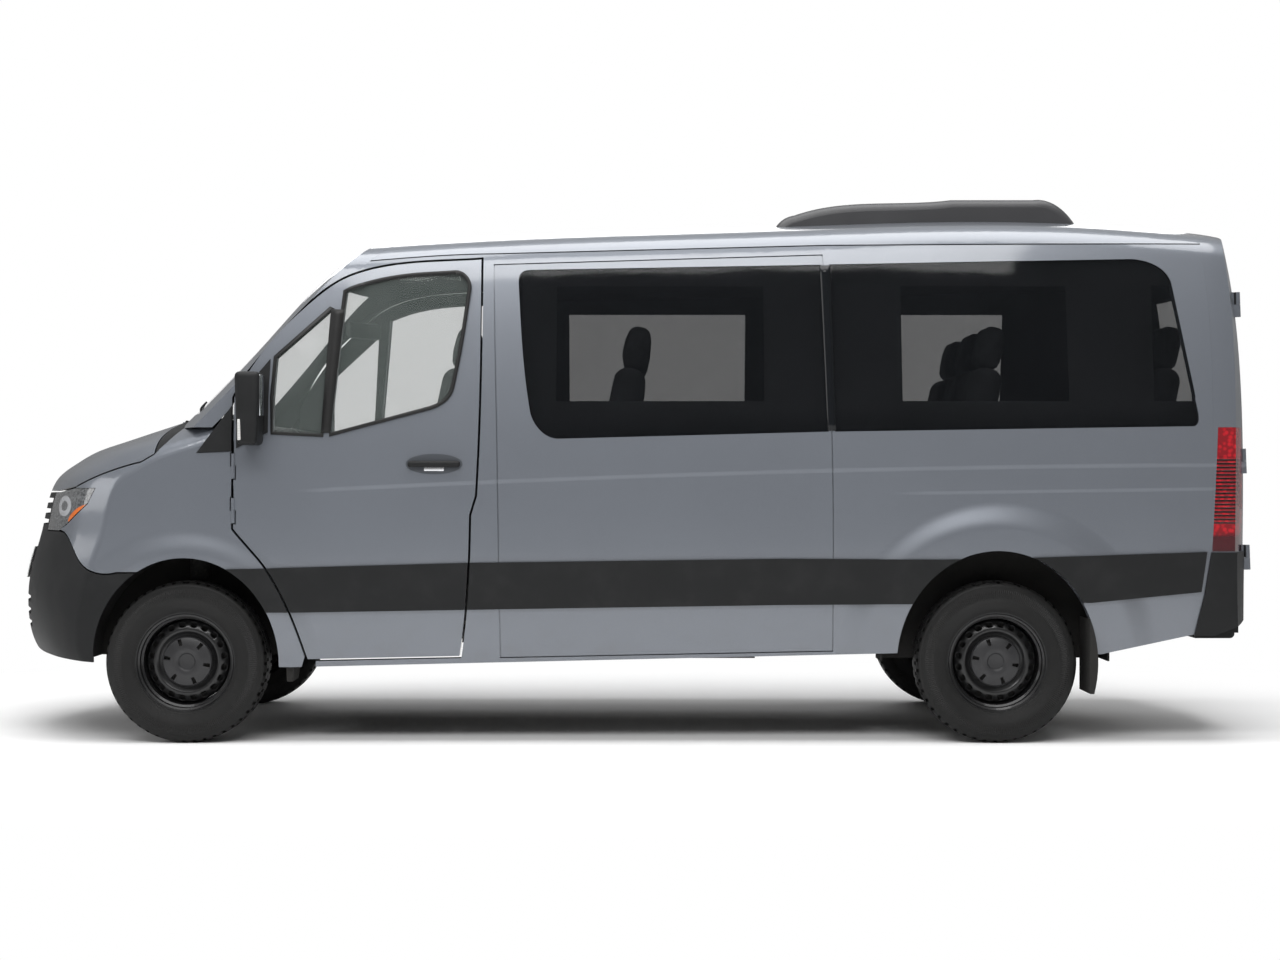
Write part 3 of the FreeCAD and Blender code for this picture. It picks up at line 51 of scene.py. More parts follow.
# One node socket, with the operators that shader maths needs
class Wire:
    def __init__(self, shader, socket):
        self.shader = shader
        self.socket = socket

    def calc(self, operation, other, flipped=False):
        first, second = (other, self) if flipped else (self, other)
        return self.shader.node("ShaderNodeMath", {"operation": operation}, {0: first, 1: second})

    def __add__(self, other):
        return self.calc("ADD", other)

    def __radd__(self, other):
        return self.calc("ADD", other, True)

    def __sub__(self, other):
        return self.calc("SUBTRACT", other)

    def __rsub__(self, other):
        return self.calc("SUBTRACT", other, True)

    def __mul__(self, other):
        return self.calc("MULTIPLY", other)

    def __rmul__(self, other):
        return self.calc("MULTIPLY", other, True)

    def __truediv__(self, other):
        return self.calc("DIVIDE", other)


class Shader:
    def __init__(self, owner):
        owner.use_nodes = True
        self.tree = owner.node_tree
        self.tree.nodes.clear()

    # Makes any node: its type, its settings first, then the values or links of its sockets
    def node(self, kind, settings=None, inputs=None, out=0):
        item = self.tree.nodes.new(kind)
        for key, value in (settings or {}).items():
            if key == "stops":
                ramp = item.color_ramp
                while len(ramp.elements) < len(value):
                    ramp.elements.new(0.5)
                for element, (place, colour) in zip(ramp.elements, value):
                    element.position = place
                    element.color = colour
            else:
                setattr(item, key, value)
        for key, value in (inputs or {}).items():
            if isinstance(value, Wire):
                self.tree.links.new(value.socket, item.inputs[key])
            else:
                item.inputs[key].default_value = value
        return Wire(self, item.outputs[out]) if len(item.outputs) else None

    def coords(self):
        return self.node("ShaderNodeTexCoord", out="Object")

    def noise(self, scale, detail=3, rough=0.5, vector=None):
        inputs = {"Vector": vector or self.coords(), "Scale": scale, "Detail": detail, "Roughness": rough}
        return self.node("ShaderNodeTexNoise", {}, inputs)

    def axis(self, name, vector=None):
        return self.node("ShaderNodeSeparateXYZ", {}, {0: vector or self.coords()}, out=name)

    def blend(self, factor, first, second):
        settings = {"data_type": "RGBA", "blend_type": "MIX"}
        return self.node("ShaderNodeMix", settings, {"Factor": factor, 6: first, 7: second}, out=2)

    def ramp(self, value, *stops):
        greys = [(place, (tone, tone, tone, 1)) for place, tone in stops]
        return self.node("ShaderNodeValToRGB", {"stops": greys}, {0: value})

    def smooth(self, value, low, high):
        settings = {"interpolation_type": "SMOOTHSTEP"}
        return self.node("ShaderNodeMapRange", settings, {0: value, 1: low, 2: high, 3: 0.0, 4: 1.0})

    def bump(self, height, strength, distance):
        inputs = {"Height": height, "Strength": strength, "Distance": distance}
        return self.node("ShaderNodeBump", {}, inputs)

    def cells(self, scale):
        inputs = {"Vector": self.coords(), "Scale": scale}
        return self.node("ShaderNodeTexVoronoi", {"feature": "F1"}, inputs)

    def maths(self, operation, value):
        return self.node("ShaderNodeMath", {"operation": operation}, {0: value})

    def surface(self, **inputs):
        named = {key.replace("_", " "): value for key, value in inputs.items()}
        shader = self.node("ShaderNodeBsdfPrincipled", {}, named)
        self.node("ShaderNodeOutputMaterial", {}, {"Surface": shader})


def material(name):
    item = bpy.data.materials.new(name)
    return item, Shader(item)


def shade(red, green, blue):
    return (red, green, blue, 1.0)


finishes = {}

# Metallic paint under a clear coat: fine flakes, pressed creases, wheel arch flares and road dust low down
paint = {
    "body": (0.128, 0.140, 0.162), "flake": (0.165, 0.180, 0.205), "cloud": (0.19, 0.21, 0.24),
    "dust": (0.13, 0.135, 0.14), "dustTop": 0.75, "relief": 0.012,
    "crease": {
        "height": 1.1485, "at": -1.275, "rise": 0.0386, "curve": -0.005758, "middle": 0.707, "tall": 0.45,
    },
    "shelf": {"height": 1.1283, "at": 1.2286, "rise": 0.0144, "tall": 0.3},
    "flares": (
        {"x": 1.690, "z": 0.366, "low": 0.600, "high": 0.735, "tall": 2.6},
        {"x": -1.975, "z": 0.366, "low": 0.490, "high": 0.610, "tall": 1.8},
    ),
}


def pressedForms(m):
    # Height of the creases and flares pressed into the side panels
    x = m.axis("X")
    z = m.axis("Z")
    crease = paint["crease"]
    along = x - crease["at"]
    line = along * crease["rise"] + along * (x - crease["middle"]) * crease["curve"] + crease["height"]
    height = m.smooth(z - line, -0.012, 0.012) * m.smooth(x, -1.55, -1.20) * crease["tall"]
    shelf = paint["shelf"]
    line = (x - shelf["at"]) * shelf["rise"] + shelf["height"]
    height = height + m.smooth(z - line, -0.010, 0.010) * m.smooth(x, 1.15, 1.45) * shelf["tall"]
    for flare in paint["flares"]:
        along, up = x - flare["x"], z - flare["z"]
        radius = m.maths("SQRT", along * along + up * up)
        height = height + (1 - m.smooth(radius, flare["low"], flare["high"])) * flare["tall"]
    return height


item, m = material("bodyPaint")
flakes = m.noise(1400, 2, 0.6)
clouds = m.noise(1.6, 3, 0.5)
grime = m.noise(9, 5, 0.65)
low = 1 - m.smooth(m.axis("Z"), 0.25, paint["dustTop"])
colour = m.blend(m.smooth(flakes, 0.42, 0.62), shade(*paint["body"]), shade(*paint["flake"]))
colour = m.blend(m.smooth(clouds, 0.35, 0.75) * 0.10, colour, shade(*paint["cloud"]))
colour = m.blend(low * m.smooth(grime, 0.45, 0.75) * 0.35, colour, shade(*paint["dust"]))
m.surface(
    Base_Color=colour, Metallic=0.35, Roughness=0.36 + low * grime * 0.2, Coat_Weight=0.8,
    Coat_Roughness=0.08, Normal=m.bump(pressedForms(m), 1.0, paint["relief"]),
)
finishes["paint"] = item

# Grained black plastic of bumpers, cladding and trim
item, m = material("grainedPlastic")
grain = m.noise(650, 3, 0.6)
wear = m.noise(6, 4, 0.6)
low = 1 - m.smooth(m.axis("Z"), 0.2, 0.9)
colour = m.blend(m.smooth(wear, 0.4, 0.8) * 0.5, shade(0.010, 0.0105, 0.011), shade(0.020, 0.0205, 0.0215))
colour = m.blend(low * m.smooth(wear, 0.5, 0.7) * 0.3, colour, shade(0.030, 0.028, 0.026))
m.surface(
    Base_Color=colour, Roughness=0.48 + wear * 0.15, Specular_IOR_Level=0.22,
    Normal=m.bump(grain, 0.35, 0.0006),
)
finishes["black_plastic"] = item

item, m = material("satinBlack")
grain = m.noise(300, 2, 0.5)
wear = m.noise(4, 3, 0.5)
colour = m.blend(wear, shade(0.022, 0.022, 0.024), shade(0.036, 0.036, 0.039))
m.surface(Base_Color=colour, Roughness=0.38 + wear * 0.12, Normal=m.bump(grain, 0.15, 0.0004))
finishes["roof_plastic"] = item

item, m = material("linerFelt")
fluff = m.noise(180, 5, 0.8)
dirt = m.noise(7, 4, 0.7)
colour = m.blend(dirt * 0.5, shade(0.010, 0.010, 0.010), shade(0.035, 0.032, 0.028))
m.surface(Base_Color=colour, Roughness=0.95, Normal=m.bump(fluff, 0.7, 0.002))
finishes["liner_plastic"] = item

# Clear front glass and dark privacy glass; each pane has two faces, so their Alpha works twice
item, m = material("clearGlass")
smear = m.noise(5, 4, 0.6)
colour = m.blend(smear, shade(0.16, 0.19, 0.18), shade(0.22, 0.25, 0.24))
m.surface(
    Base_Color=colour, Roughness=0.03 + smear * 0.03, Alpha=0.16 + smear * 0.04, Specular_IOR_Level=0.3,
)
finishes["clear_glass"] = item

item, m = material("privacyGlass")
smear = m.noise(3, 4, 0.6)
colour = m.blend(smear, shade(0.004, 0.005, 0.006), shade(0.009, 0.010, 0.012))
m.surface(
    Base_Color=colour, Roughness=0.03 + smear * 0.02, Alpha=0.42 + smear * 0.03, Specular_IOR_Level=0.25,
)
finishes["privacy_glass"] = item

# Red tail lens: bright frame, ribbed inner field and a dark foot
tailLens = {"innerDepth": 2.795, "innerLow": (0.98, 1.0), "innerHigh": (1.28, 1.30), "foot": (0.93, 0.96)}
item, m = material("redLens")
height = m.axis("Z")
depth = m.axis("X")
ribs = m.maths("FRACT", height * 60)
facets = m.cells(45.0)
colour = m.blend(m.smooth(facets, 0.2, 0.6), shade(0.48, 0.006, 0.014), shade(0.22, 0.003, 0.008))
inner = m.smooth(tailLens["innerDepth"] - depth, 0.0, 0.004) * m.smooth(height, *tailLens["innerLow"])
inner = inner * (1 - m.smooth(height, *tailLens["innerHigh"]))
colour = m.blend(inner * m.smooth(ribs, 0.35, 0.55), colour, shade(0.02, 0.002, 0.003))
colour = m.blend(1 - m.smooth(height, *tailLens["foot"]), colour, shade(0.06, 0.004, 0.008))
relief = ribs * inner + facets * 0.6
m.surface(Base_Color=colour, Roughness=0.10, Coat_Weight=1.0, Normal=m.bump(relief, 0.4, 0.001))
finishes["lamp_red"] = item

# Headlamp lens: the bowl and the amber field show through it, placed in the side view
lampFace = {
    "bowl": (-2.570, 1.070), "bowlRim": (0.044, 0.050), "bulb": (0.020, 0.026),
    "amber": (-2.470, 1.035), "amberSize": (0.070, 0.034), "lean": 0.45,
}
item, m = material("lampLens")
x = m.axis("X")
z = m.axis("Z")
facet = m.cells(70.0)
bowlX, bowlZ = x - lampFace["bowl"][0], z - lampFace["bowl"][1]
bowl = m.maths("SQRT", bowlX * bowlX + bowlZ * bowlZ)
wide, tall = lampFace["amberSize"]
amberX = (x - lampFace["amber"][0]) / wide
amberZ = (z - lampFace["amber"][1] - (x - lampFace["amber"][0]) * lampFace["lean"]) / tall
amber = m.maths("SQRT", amberX * amberX + amberZ * amberZ)
colour = m.blend(m.smooth(facet, 0.2, 0.7), shade(0.045, 0.047, 0.05), shade(0.14, 0.145, 0.15))
colour = m.blend(1 - m.smooth(bowl, *lampFace["bowlRim"]), colour, shade(0.42, 0.43, 0.45))
colour = m.blend(1 - m.smooth(bowl, *lampFace["bulb"]), colour, shade(0.10, 0.105, 0.11))
colour = m.blend(1 - m.smooth(amber, 0.85, 1.0), colour, shade(0.75, 0.16, 0.015))
m.surface(
    Base_Color=colour, Roughness=0.06, Coat_Weight=1.0, Alpha=0.93 - facet * 0.1,
    Normal=m.bump(facet, 0.25, 0.001),
)
finishes["lamp_clear"] = item

item, m = material("amberLens")
facet = m.cells(120.0)
colour = m.blend(facet, shade(0.85, 0.16, 0.01), shade(0.95, 0.30, 0.03))
m.surface(Base_Color=colour, Roughness=0.15, Coat_Weight=1.0, Normal=m.bump(facet, 0.3, 0.001))
finishes["amber"] = item

# Tyre rubber with fine rings and a serrated band on the wall, read from each tread piece's own map
item, m = material("tyreRubber")
grain = m.noise(260, 4, 0.7)
dust = m.noise(14, 4, 0.6)
colour = m.blend(dust, shade(0.003, 0.003, 0.003), shade(0.011, 0.0108, 0.0105))
spot = m.node("ShaderNodeUVMap", {"uv_map": "turn"})
radius = m.node("ShaderNodeSeparateXYZ", {}, {0: spot}, out="Y")
turn = m.node("ShaderNodeSeparateXYZ", {}, {0: spot}, out="X")
rings = m.maths("SINE", radius * 1250)
serration = m.maths("SINE", turn * (math.tau * 220))
wall = m.smooth(radius, 0.285, 0.292) * (1 - m.smooth(radius, 0.322, 0.330))
rings = rings * (1 - wall) * m.smooth(0.345 - radius, 0, 0.004)
relief = serration * wall * 0.35 + rings * 0.25 + grain * 0.3
m.surface(
    Base_Color=colour, Roughness=0.42 + dust * 0.25, Specular_IOR_Level=0.3,
    Normal=m.bump(relief, 1.0, 0.0022),
)
finishes["tyre"] = item

# Black steel and hub plastic of the wheels, and the metals underneath
item, m = material("blackSteel")
peel = m.noise(220, 2, 0.5)
dust = m.noise(18, 4, 0.7)
colour = m.blend(m.smooth(dust, 0.5, 0.8) * 0.6, shade(0.005, 0.005, 0.0055), shade(0.016, 0.0155, 0.015))
m.surface(
    Base_Color=colour, Metallic=0.2, Roughness=0.26 + dust * 0.2, Coat_Weight=0.25,
    Normal=m.bump(peel, 0.1, 0.0005),
)
finishes["wheel_steel"] = item

item, m = material("hubPlastic")
grain = m.noise(420, 3, 0.5)
dust = m.noise(20, 4, 0.6)
colour = m.blend(dust, shade(0.016, 0.016, 0.017), shade(0.034, 0.034, 0.036))
m.surface(
    Base_Color=colour, Roughness=0.34 + dust * 0.12, Specular_IOR_Level=0.4,
    Normal=m.bump(grain, 0.15, 0.0004),
)
finishes["hub_plastic"] = item

item, m = material("chassisCoat")
rough = m.noise(60, 5, 0.7)
colour = m.blend(m.smooth(rough, 0.45, 0.75), shade(0.012, 0.012, 0.012), shade(0.05, 0.045, 0.04))
m.surface(Base_Color=colour, Metallic=0.1, Roughness=0.65 + rough * 0.2, Normal=m.bump(rough, 0.3, 0.001))
finishes["chassis_steel"] = item

item, m = material("castIron")
rough = m.noise(110, 5, 0.7)
colour = m.blend(rough, shade(0.05, 0.05, 0.05), shade(0.14, 0.13, 0.12))
m.surface(Base_Color=colour, Metallic=0.7, Roughness=0.6, Normal=m.bump(rough, 0.5, 0.001))
finishes["engine_iron"] = item

item, m = material("finnedAluminium")
fins = m.maths("FRACT", m.axis("Z") * 160)
colour = m.blend(m.smooth(fins, 0.3, 0.7), shade(0.03, 0.03, 0.03), shade(0.16, 0.16, 0.165))
m.surface(Base_Color=colour, Metallic=0.8, Roughness=0.5, Normal=m.bump(fins, 0.6, 0.002))
finishes["radiator_aluminium"] = item

item, m = material("warmSteel")
stain = m.noise(16, 5, 0.6)
colour = m.blend(stain, shade(0.20, 0.19, 0.17), shade(0.34, 0.28, 0.22))
m.surface(Base_Color=colour, Metallic=0.9, Roughness=0.4 + stain * 0.2, Normal=m.bump(stain, 0.1, 0.001))
finishes["exhaust_steel"] = item

# Woven seat cloth and the soft trim of the cabin
item, m = material("wovenCloth")
thread = {"Vector": m.coords(), "Scale": 160.0, "Distortion": 1.5, "Detail": 2.0}
along = m.node("ShaderNodeTexWave", {"wave_type": "BANDS", "bands_direction": "Z"}, thread)
across = m.node("ShaderNodeTexWave", {"wave_type": "BANDS", "bands_direction": "Y"}, thread)
weave = along * across
colour = m.blend(weave, shade(0.020, 0.021, 0.023), shade(0.065, 0.066, 0.070))
m.surface(Base_Color=colour, Roughness=0.95, Normal=m.bump(weave, 0.4, 0.001))
finishes["seat_fabric"] = item

item, m = material("softTrim")
pebble = m.cells(240.0)
tone = m.noise(3, 3, 0.5)
colour = m.blend(tone, shade(0.014, 0.014, 0.015), shade(0.030, 0.030, 0.031))
m.surface(Base_Color=colour, Roughness=0.62, Normal=m.bump(pebble, 0.25, 0.0008))
finishes["soft_plastic"] = item

# Small fittings: mirrors, gloss covers, seals, bright inserts, linings, the painted shade of the handle
# recesses, and plates
item, m = material("mirrorGlass")
smear = m.noise(9, 3, 0.5)
colour = m.blend(smear, shade(0.62, 0.64, 0.66), shade(0.72, 0.74, 0.76))
m.surface(Base_Color=colour, Metallic=1.0, Roughness=0.03 + smear * 0.04)
finishes["mirror_glass"] = item

item, m = material("glossBlack")
smear = m.noise(3, 4, 0.6)
colour = m.blend(smear, shade(0.004, 0.005, 0.006), shade(0.008, 0.009, 0.011))
m.surface(Base_Color=colour, Roughness=0.05 + smear * 0.04, Specular_IOR_Level=0.25)
finishes["gloss_black"] = item

item, m = material("sealRubber")
grain = m.noise(300, 3, 0.6)
colour = m.blend(grain, shade(0.006, 0.006, 0.006), shade(0.014, 0.014, 0.014))
m.surface(Base_Color=colour, Roughness=0.5, Specular_IOR_Level=0.3, Normal=m.bump(grain, 0.2, 0.0004))
finishes["rubber"] = item

item, m = material("brightTrim")
smear = m.noise(30, 3, 0.5)
colour = m.blend(smear, shade(0.62, 0.63, 0.65), shade(0.74, 0.75, 0.77))
m.surface(Base_Color=colour, Metallic=1.0, Roughness=0.14 + smear * 0.1)
finishes["bright"] = item

item, m = material("headliner")
fluff = m.noise(240, 4, 0.7)
colour = m.blend(fluff, shade(0.020, 0.021, 0.022), shade(0.036, 0.037, 0.039))
m.surface(Base_Color=colour, Roughness=0.95, Specular_IOR_Level=0.1, Normal=m.bump(fluff, 0.3, 0.0008))
finishes["lining"] = item

# Painted shade: darker paint that stands for the shadow in the door handle recess
item, m = material("recessPaintedShade")
flakes = m.noise(1400, 2, 0.6)
colour = m.blend(flakes, shade(0.060, 0.066, 0.076), shade(0.085, 0.092, 0.105))
m.surface(Base_Color=colour, Metallic=0.35, Roughness=0.30 + flakes * 0.1, Coat_Weight=0.8)
finishes["recess_painted_shade"] = item

item, m = material("repeaterLens")
lines = m.maths("FRACT", m.axis("Z") * 140)
colour = m.blend(m.smooth(lines, 0.4, 0.6), shade(0.50, 0.50, 0.49), shade(0.68, 0.67, 0.65))
m.surface(Base_Color=colour, Roughness=0.10, Coat_Weight=1.0, Normal=m.bump(lines, 0.3, 0.001))
finishes["repeater"] = item

item, m = material("blankPlate")
smear = m.noise(12, 4, 0.6)
colour = m.blend(smear, shade(0.55, 0.56, 0.56), shade(0.63, 0.63, 0.62))
m.surface(Base_Color=colour, Roughness=0.35 + smear * 0.1, Normal=m.bump(smear, 0.05, 0.001))
finishes["plate"] = item

slotOf = {row["node"]: row["material_slot"] for row in frame["record"]["subparts"]}
for name, thing in nodes.items():
    thing.data.materials.clear()
    thing.data.materials.append(finishes[slotOf[name]])
nodes["roof_unit"].data.materials[0] = finishes["roof_plastic"]
print("stage: materials")


# Turns a bmesh into a finished piece that rides on a body
def makePiece(name, mesh, finish, body, smooth=35):
    data = bpy.data.meshes.new(name)
    mesh.to_mesh(data)
    mesh.free()
    thing = bpy.data.objects.new(name, data)
    bpy.context.scene.collection.objects.link(thing)
    data.materials.append(finishes[finish])
    if smooth:
        data.shade_smooth()
        data.set_sharp_from_angle(angle=math.radians(smooth))
    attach(thing, body)
    return thing


def spun(name, side):
    # A wheel outline with its widths turned to the outer side of the vehicle
    return [(radius, side * width) for radius, width in wheel[name]]


def ring(mesh, profile, steps, centre, closed=False):
    # Spins an outline of radius and width about the axle, which runs along Y
    points = [mesh.verts.new(centre + Vector((0, width, radius))) for radius, width in profile]
    edges = [mesh.edges.new(pair) for pair in zip(points, points[1:])]
    if closed:
        edges.append(mesh.edges.new((points[-1], points[0])))
    bmesh.ops.spin(
        mesh, geom=points + edges, cent=centre, axis=(0, 1, 0), dvec=(0, 0, 0), angle=math.tau, steps=steps,
        use_merge=True, use_normal_flip=False, use_duplicate=False,
    )
    bmesh.ops.remove_doubles(mesh, verts=mesh.verts[:], dist=0.00002)
    bmesh.ops.recalc_face_normals(mesh, faces=mesh.faces[:])


def turnMap(mesh, centre):
    # Writes each corner's turn about the axle and its radius into the piece's own map
    layer = mesh.loops.layers.uv.new("turn")
    for face in mesh.faces:
        turns = []
        for corner in face.loops:
            out = corner.vert.co - centre
            turns.append(math.atan2(out.z, out.x) / math.tau % 1.0)
        for corner, turn in zip(face.loops, turns):
            # A face across the seam goes on past one turn
            out = corner.vert.co - centre
            turn += 1 if max(turns) - turn > 0.5 else 0
            corner[layer].uv = (turn, math.hypot(out.x, out.z))


# Tyres: ribbed tread with cross cuts, shoulder blocks and a plain stepped sidewall
tyre = {
    "steps": 144, "sharp": 28,
    "shoulder": {"radius": 0.352, "from": 0.078, "to": 0.096, "deep": 0.003},
    "shoulderEdge": {"radius": 0.355, "from": 0.068, "to": 0.080},
    "rib": {"radius": 0.3625, "from": 0.024, "to": 0.060, "deep": 0.005},
    "side": [
        (0.2190, 0.0860), (0.2215, 0.0930), (0.2235, 0.0985), (0.2262, 0.1010), (0.2300, 0.1020),
        (0.2340, 0.1045), (0.2480, 0.1080), (0.2700, 0.1105), (0.2860, 0.1115), (0.2890, 0.1103),
        (0.3060, 0.1098), (0.3090, 0.1106), (0.3200, 0.1082), (0.3340, 0.1030), (0.3440, 0.0985),
    ],
    "tread": [
        (0.3500, 0.0950), (0.3580, 0.0880), (0.3615, 0.0790), (0.3630, 0.0690), (0.3545, 0.0675),
        (0.3545, 0.0610), (0.3640, 0.0595), (0.3650, 0.0420), (0.3650, 0.0250), (0.3562, 0.0235),
        (0.3562, 0.0165), (0.3654, 0.0150), (0.3655, 0.0060),
    ],
}


def tyreProfile():
    half = tyre["side"] + tyre["tread"]
    return half + [(radius, -width) for radius, width in reversed(half)]


def turnOf(face, centre):
    # A face's turn about the axle in degrees, and its radius
    out = face.calc_center_median() - centre
    return math.degrees(math.atan2(out.z, out.x)) % 360, math.hypot(out.x, out.z)


def inCut(middle, kind):
    cut = tyre[kind]
    return math.hypot(middle.x, middle.z) > cut["radius"] and cut["from"] < abs(middle.y) < cut["to"]


wheelPlaces = {}
for corner in ("front_left", "front_right", "rear_left", "rear_right"):
    low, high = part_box("tyre_" + corner)
    wheelPlaces[corner] = (low + high) / 2

for corner, centre in wheelPlaces.items():
    mesh = bmesh.new()
    ring(mesh, tyreProfile(), tyre["steps"], centre)
    blocks = {"shoulder": [], "rib": []}
    for face in mesh.faces:
        middle = face.calc_center_median() - centre
        step = int(turnOf(face, centre)[0] / (360 / tyre["steps"]) + 0.5)
        shoulder = inCut(middle, "shoulder") or inCut(middle, "shoulderEdge")
        if shoulder and step % 3 == 0:
            blocks["shoulder"].append(face)
        elif inCut(middle, "rib") and (step + (1 if middle.y > 0 else 0)) % 3 == 1:
            blocks["rib"].append(face)
    for kind, faces in blocks.items():
        made = bmesh.ops.extrude_discrete_faces(mesh, faces=faces)["faces"]
        bmesh.ops.delete(mesh, geom=[face for face in faces if face.is_valid], context="FACES_ONLY")
        for face in made:
            out = face.calc_center_median() - centre
            out.y = 0
            pull = out.normalized() * tyre[kind]["deep"]
            bmesh.ops.translate(mesh, verts=face.verts[:], vec=-pull)
    turnMap(mesh, centre)
    piece = makePiece("tyre_tread_" + corner, mesh, "tyre", "wheel_" + corner, tyre["sharp"])
    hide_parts("tyre_" + corner)
print("stage: tyres")


# Wheels: black pressed steel with a stepped barrel, round vents and a slotted hub cover
wheel = {
    "steps": 80, "coverSteps": 72, "drumSteps": 48, "sheet": 0.004, "vent": (0.157, 0.180),
    "slots": 6, "firstSlot": 109, "slotHalf": 5.1, "slotSpan": (0.070, 0.1055), "slotDepth": 0.018,
    "barrel": [
        (0.2245, 0.0965), (0.2262, 0.0985), (0.2250, 0.1008), (0.2215, 0.1000), (0.2160, 0.0925),
        (0.2075, 0.0890), (0.2050, 0.0700), (0.1960, 0.0620), (0.1925, 0.0400), (0.1900, 0.0100),
        (0.1900, -0.0450), (0.2050, -0.0700), (0.2075, -0.0890), (0.2160, -0.0925), (0.2250, -0.1000),
        (0.2245, -0.0950), (0.2120, -0.0860), (0.2090, -0.0680), (0.1945, -0.0450), (0.1945, 0.0120),
        (0.1965, 0.0400), (0.2000, 0.0600), (0.2090, 0.0680), (0.2120, 0.0860),
    ],
    "disc": [
        (0.1910, 0.0180), (0.1860, 0.0250), (0.1800, 0.0330), (0.1570, 0.0440), (0.1480, 0.0470),
        (0.1380, 0.0470), (0.1300, 0.0400), (0.1230, 0.0340), (0.0900, 0.0330),
    ],
    "drum": [(0.0600, 0.0200), (0.1500, 0.0180), (0.1600, 0.0080), (0.1850, 0.0060), (0.1850, -0.0400)],
    "cover": [
        (0.1130, 0.0300), (0.1130, 0.0510), (0.1100, 0.0560), (0.1055, 0.0585), (0.0760, 0.0650),
        (0.0640, 0.0670), (0.0420, 0.0670), (0.0390, 0.0650), (0.0340, 0.0590), (0.0200, 0.0570),
        (0.0, 0.0570),
    ],
}
for corner, centre in wheelPlaces.items():
    side = math.copysign(1, centre.y)
    mesh = bmesh.new()
    ring(mesh, spun("barrel", side), wheel["steps"], centre, closed=True)
    piece = makePiece("rim_barrel_" + corner, mesh, "wheel_steel", "wheel_" + corner, 28)
    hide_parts("rim_" + corner)

    mesh = bmesh.new()
    ring(mesh, spun("disc", side), wheel["steps"], centre)
    # Two steps in four are open in the ring of vents
    holes = []
    low, high = wheel["vent"]
    for face in mesh.faces:
        turn, radius = turnOf(face, centre)
        if low < radius < high and int(turn / (360 / wheel["steps"])) % 4 in (1, 2):
            holes.append(face)
    bmesh.ops.delete(mesh, geom=holes, context="FACES")
    piece = makePiece("rim_disc_" + corner, mesh, "wheel_steel", "wheel_" + corner, 40)
    wall = piece.modifiers.new("sheet", "SOLIDIFY")
    wall.thickness = wheel["sheet"]
    smoother = piece.modifiers.new("pressing", "SUBSURF")
    smoother.levels = 1
    smoother.render_levels = 1

    mesh = bmesh.new()
    ring(mesh, spun("cover", side), wheel["coverSteps"], centre)
    pockets = []
    low, high = wheel["slotSpan"]
    pitch = 360 / wheel["slots"]
    for face in mesh.faces:
        turn, radius = turnOf(face, centre)
        along = (turn - wheel["firstSlot"]) % pitch
        if low < radius < high and (along < wheel["slotHalf"] or along > pitch - wheel["slotHalf"]):
            pockets.append(face)
    made = bmesh.ops.extrude_face_region(mesh, geom=pockets)["geom"]
    bmesh.ops.delete(mesh, geom=[face for face in pockets if face.is_valid], context="FACES_ONLY")
    sunk = [part for part in made if isinstance(part, bmesh.types.BMVert)]
    for part in made:
        if isinstance(part, bmesh.types.BMFace):
            part.material_index = 1
    bmesh.ops.translate(mesh, verts=sunk, vec=(0, -side * wheel["slotDepth"], 0))
    bmesh.ops.recalc_face_normals(mesh, faces=mesh.faces[:])
    piece = makePiece("hub_cover_" + corner, mesh, "hub_plastic", "wheel_" + corner, 35)
    piece.data.materials.append(finishes["liner_plastic"])

    # Drum and backing plate behind the vents
    mesh = bmesh.new()
    ring(mesh, spun("drum", side), wheel["drumSteps"], centre)
    makePiece("brake_drum_" + corner, mesh, "chassis_steel", "wheel_" + corner, 35)
print("stage: wheels")


# Vertices of each loose part of a mesh
def looseGroups(mesh):
    left = set(mesh.verts)
    groups = []
    while left:
        group = set()
        fresh = {left.pop()}
        while fresh:
            group |= fresh
            fresh = {edge.other_vert(vert) for vert in fresh for edge in vert.link_edges} & left
            left -= fresh
        groups.append(group)
    return groups


def nodeCopy(name):
    # A merged copy of a CAD node's mesh
    mesh = bmesh.new()
    mesh.from_mesh(nodes[name].data)
    bmesh.ops.remove_doubles(mesh, verts=mesh.verts[:], dist=0.0001)
    return mesh


def loosePanes(name, side=0):
    # Side-view outline of each loose part of a CAD node, front to back
    mesh = nodeCopy(name)
    panes = []
    for group in looseGroups(mesh):
        places = [vert.co.copy() for vert in group]
        if side == 0 or places[0].y * side > 0:
            flat = [Vector((place.x, place.z)) for place in places]
            panes.append([flat[index] for index in geometry.convex_hull_2d(flat)])
    mesh.free()
    return sorted(panes, key=lambda pane: min(point.x for point in pane))


def skinPlace(name, point, side, lift):
    # The place on a CAD node's outer skin beside a point of the side view, moved out by a lift
    place = nodes[name].closest_point_on_mesh(Vector((point.x, side * 1.4, point.y)))[1]
    return Vector((point.x, place.y + side * lift, point.y))


def band(mesh, name, pairs, side, lift, closed=True):
    # A strip over the skin between pairs of points
    rows = [[mesh.verts.new(skinPlace(name, point, side, lift)) for point in pair] for pair in pairs]
    following = rows[1:] + rows[:1] if closed else rows[1:]
    for (first, second), (third, fourth) in zip(rows, following):
        mesh.faces.new((first, second, fourth, third))


def growPane(pane, out):
    # Moves each corner of an outline outwards, square to its neighbours
    middle = sum(pane, Vector((0, 0))) / len(pane)
    moved = []
    for before, point, after in zip(pane[-1:] + pane[:-1], pane, pane[1:] + pane[:1]):
        run = (after - before).normalized()
        across = Vector((run.y, -run.x))
        if across.dot(point - middle) < 0:
            across = -across
        moved.append(point + across * out)
    return moved


def paneEdge(pane, height, rear):
    # Where a level line leaves a pane at its rear or its front edge
    crossings = []
    for first, second in zip(pane, pane[1:] + pane[:1]):
        if (first.y - height) * (second.y - height) < 0:
            share = (height - first.y) / (second.y - first.y)
            crossings.append(first.x + (second.x - first.x) * share)
    return (max(crossings) if rear else min(crossings)) if crossings else None


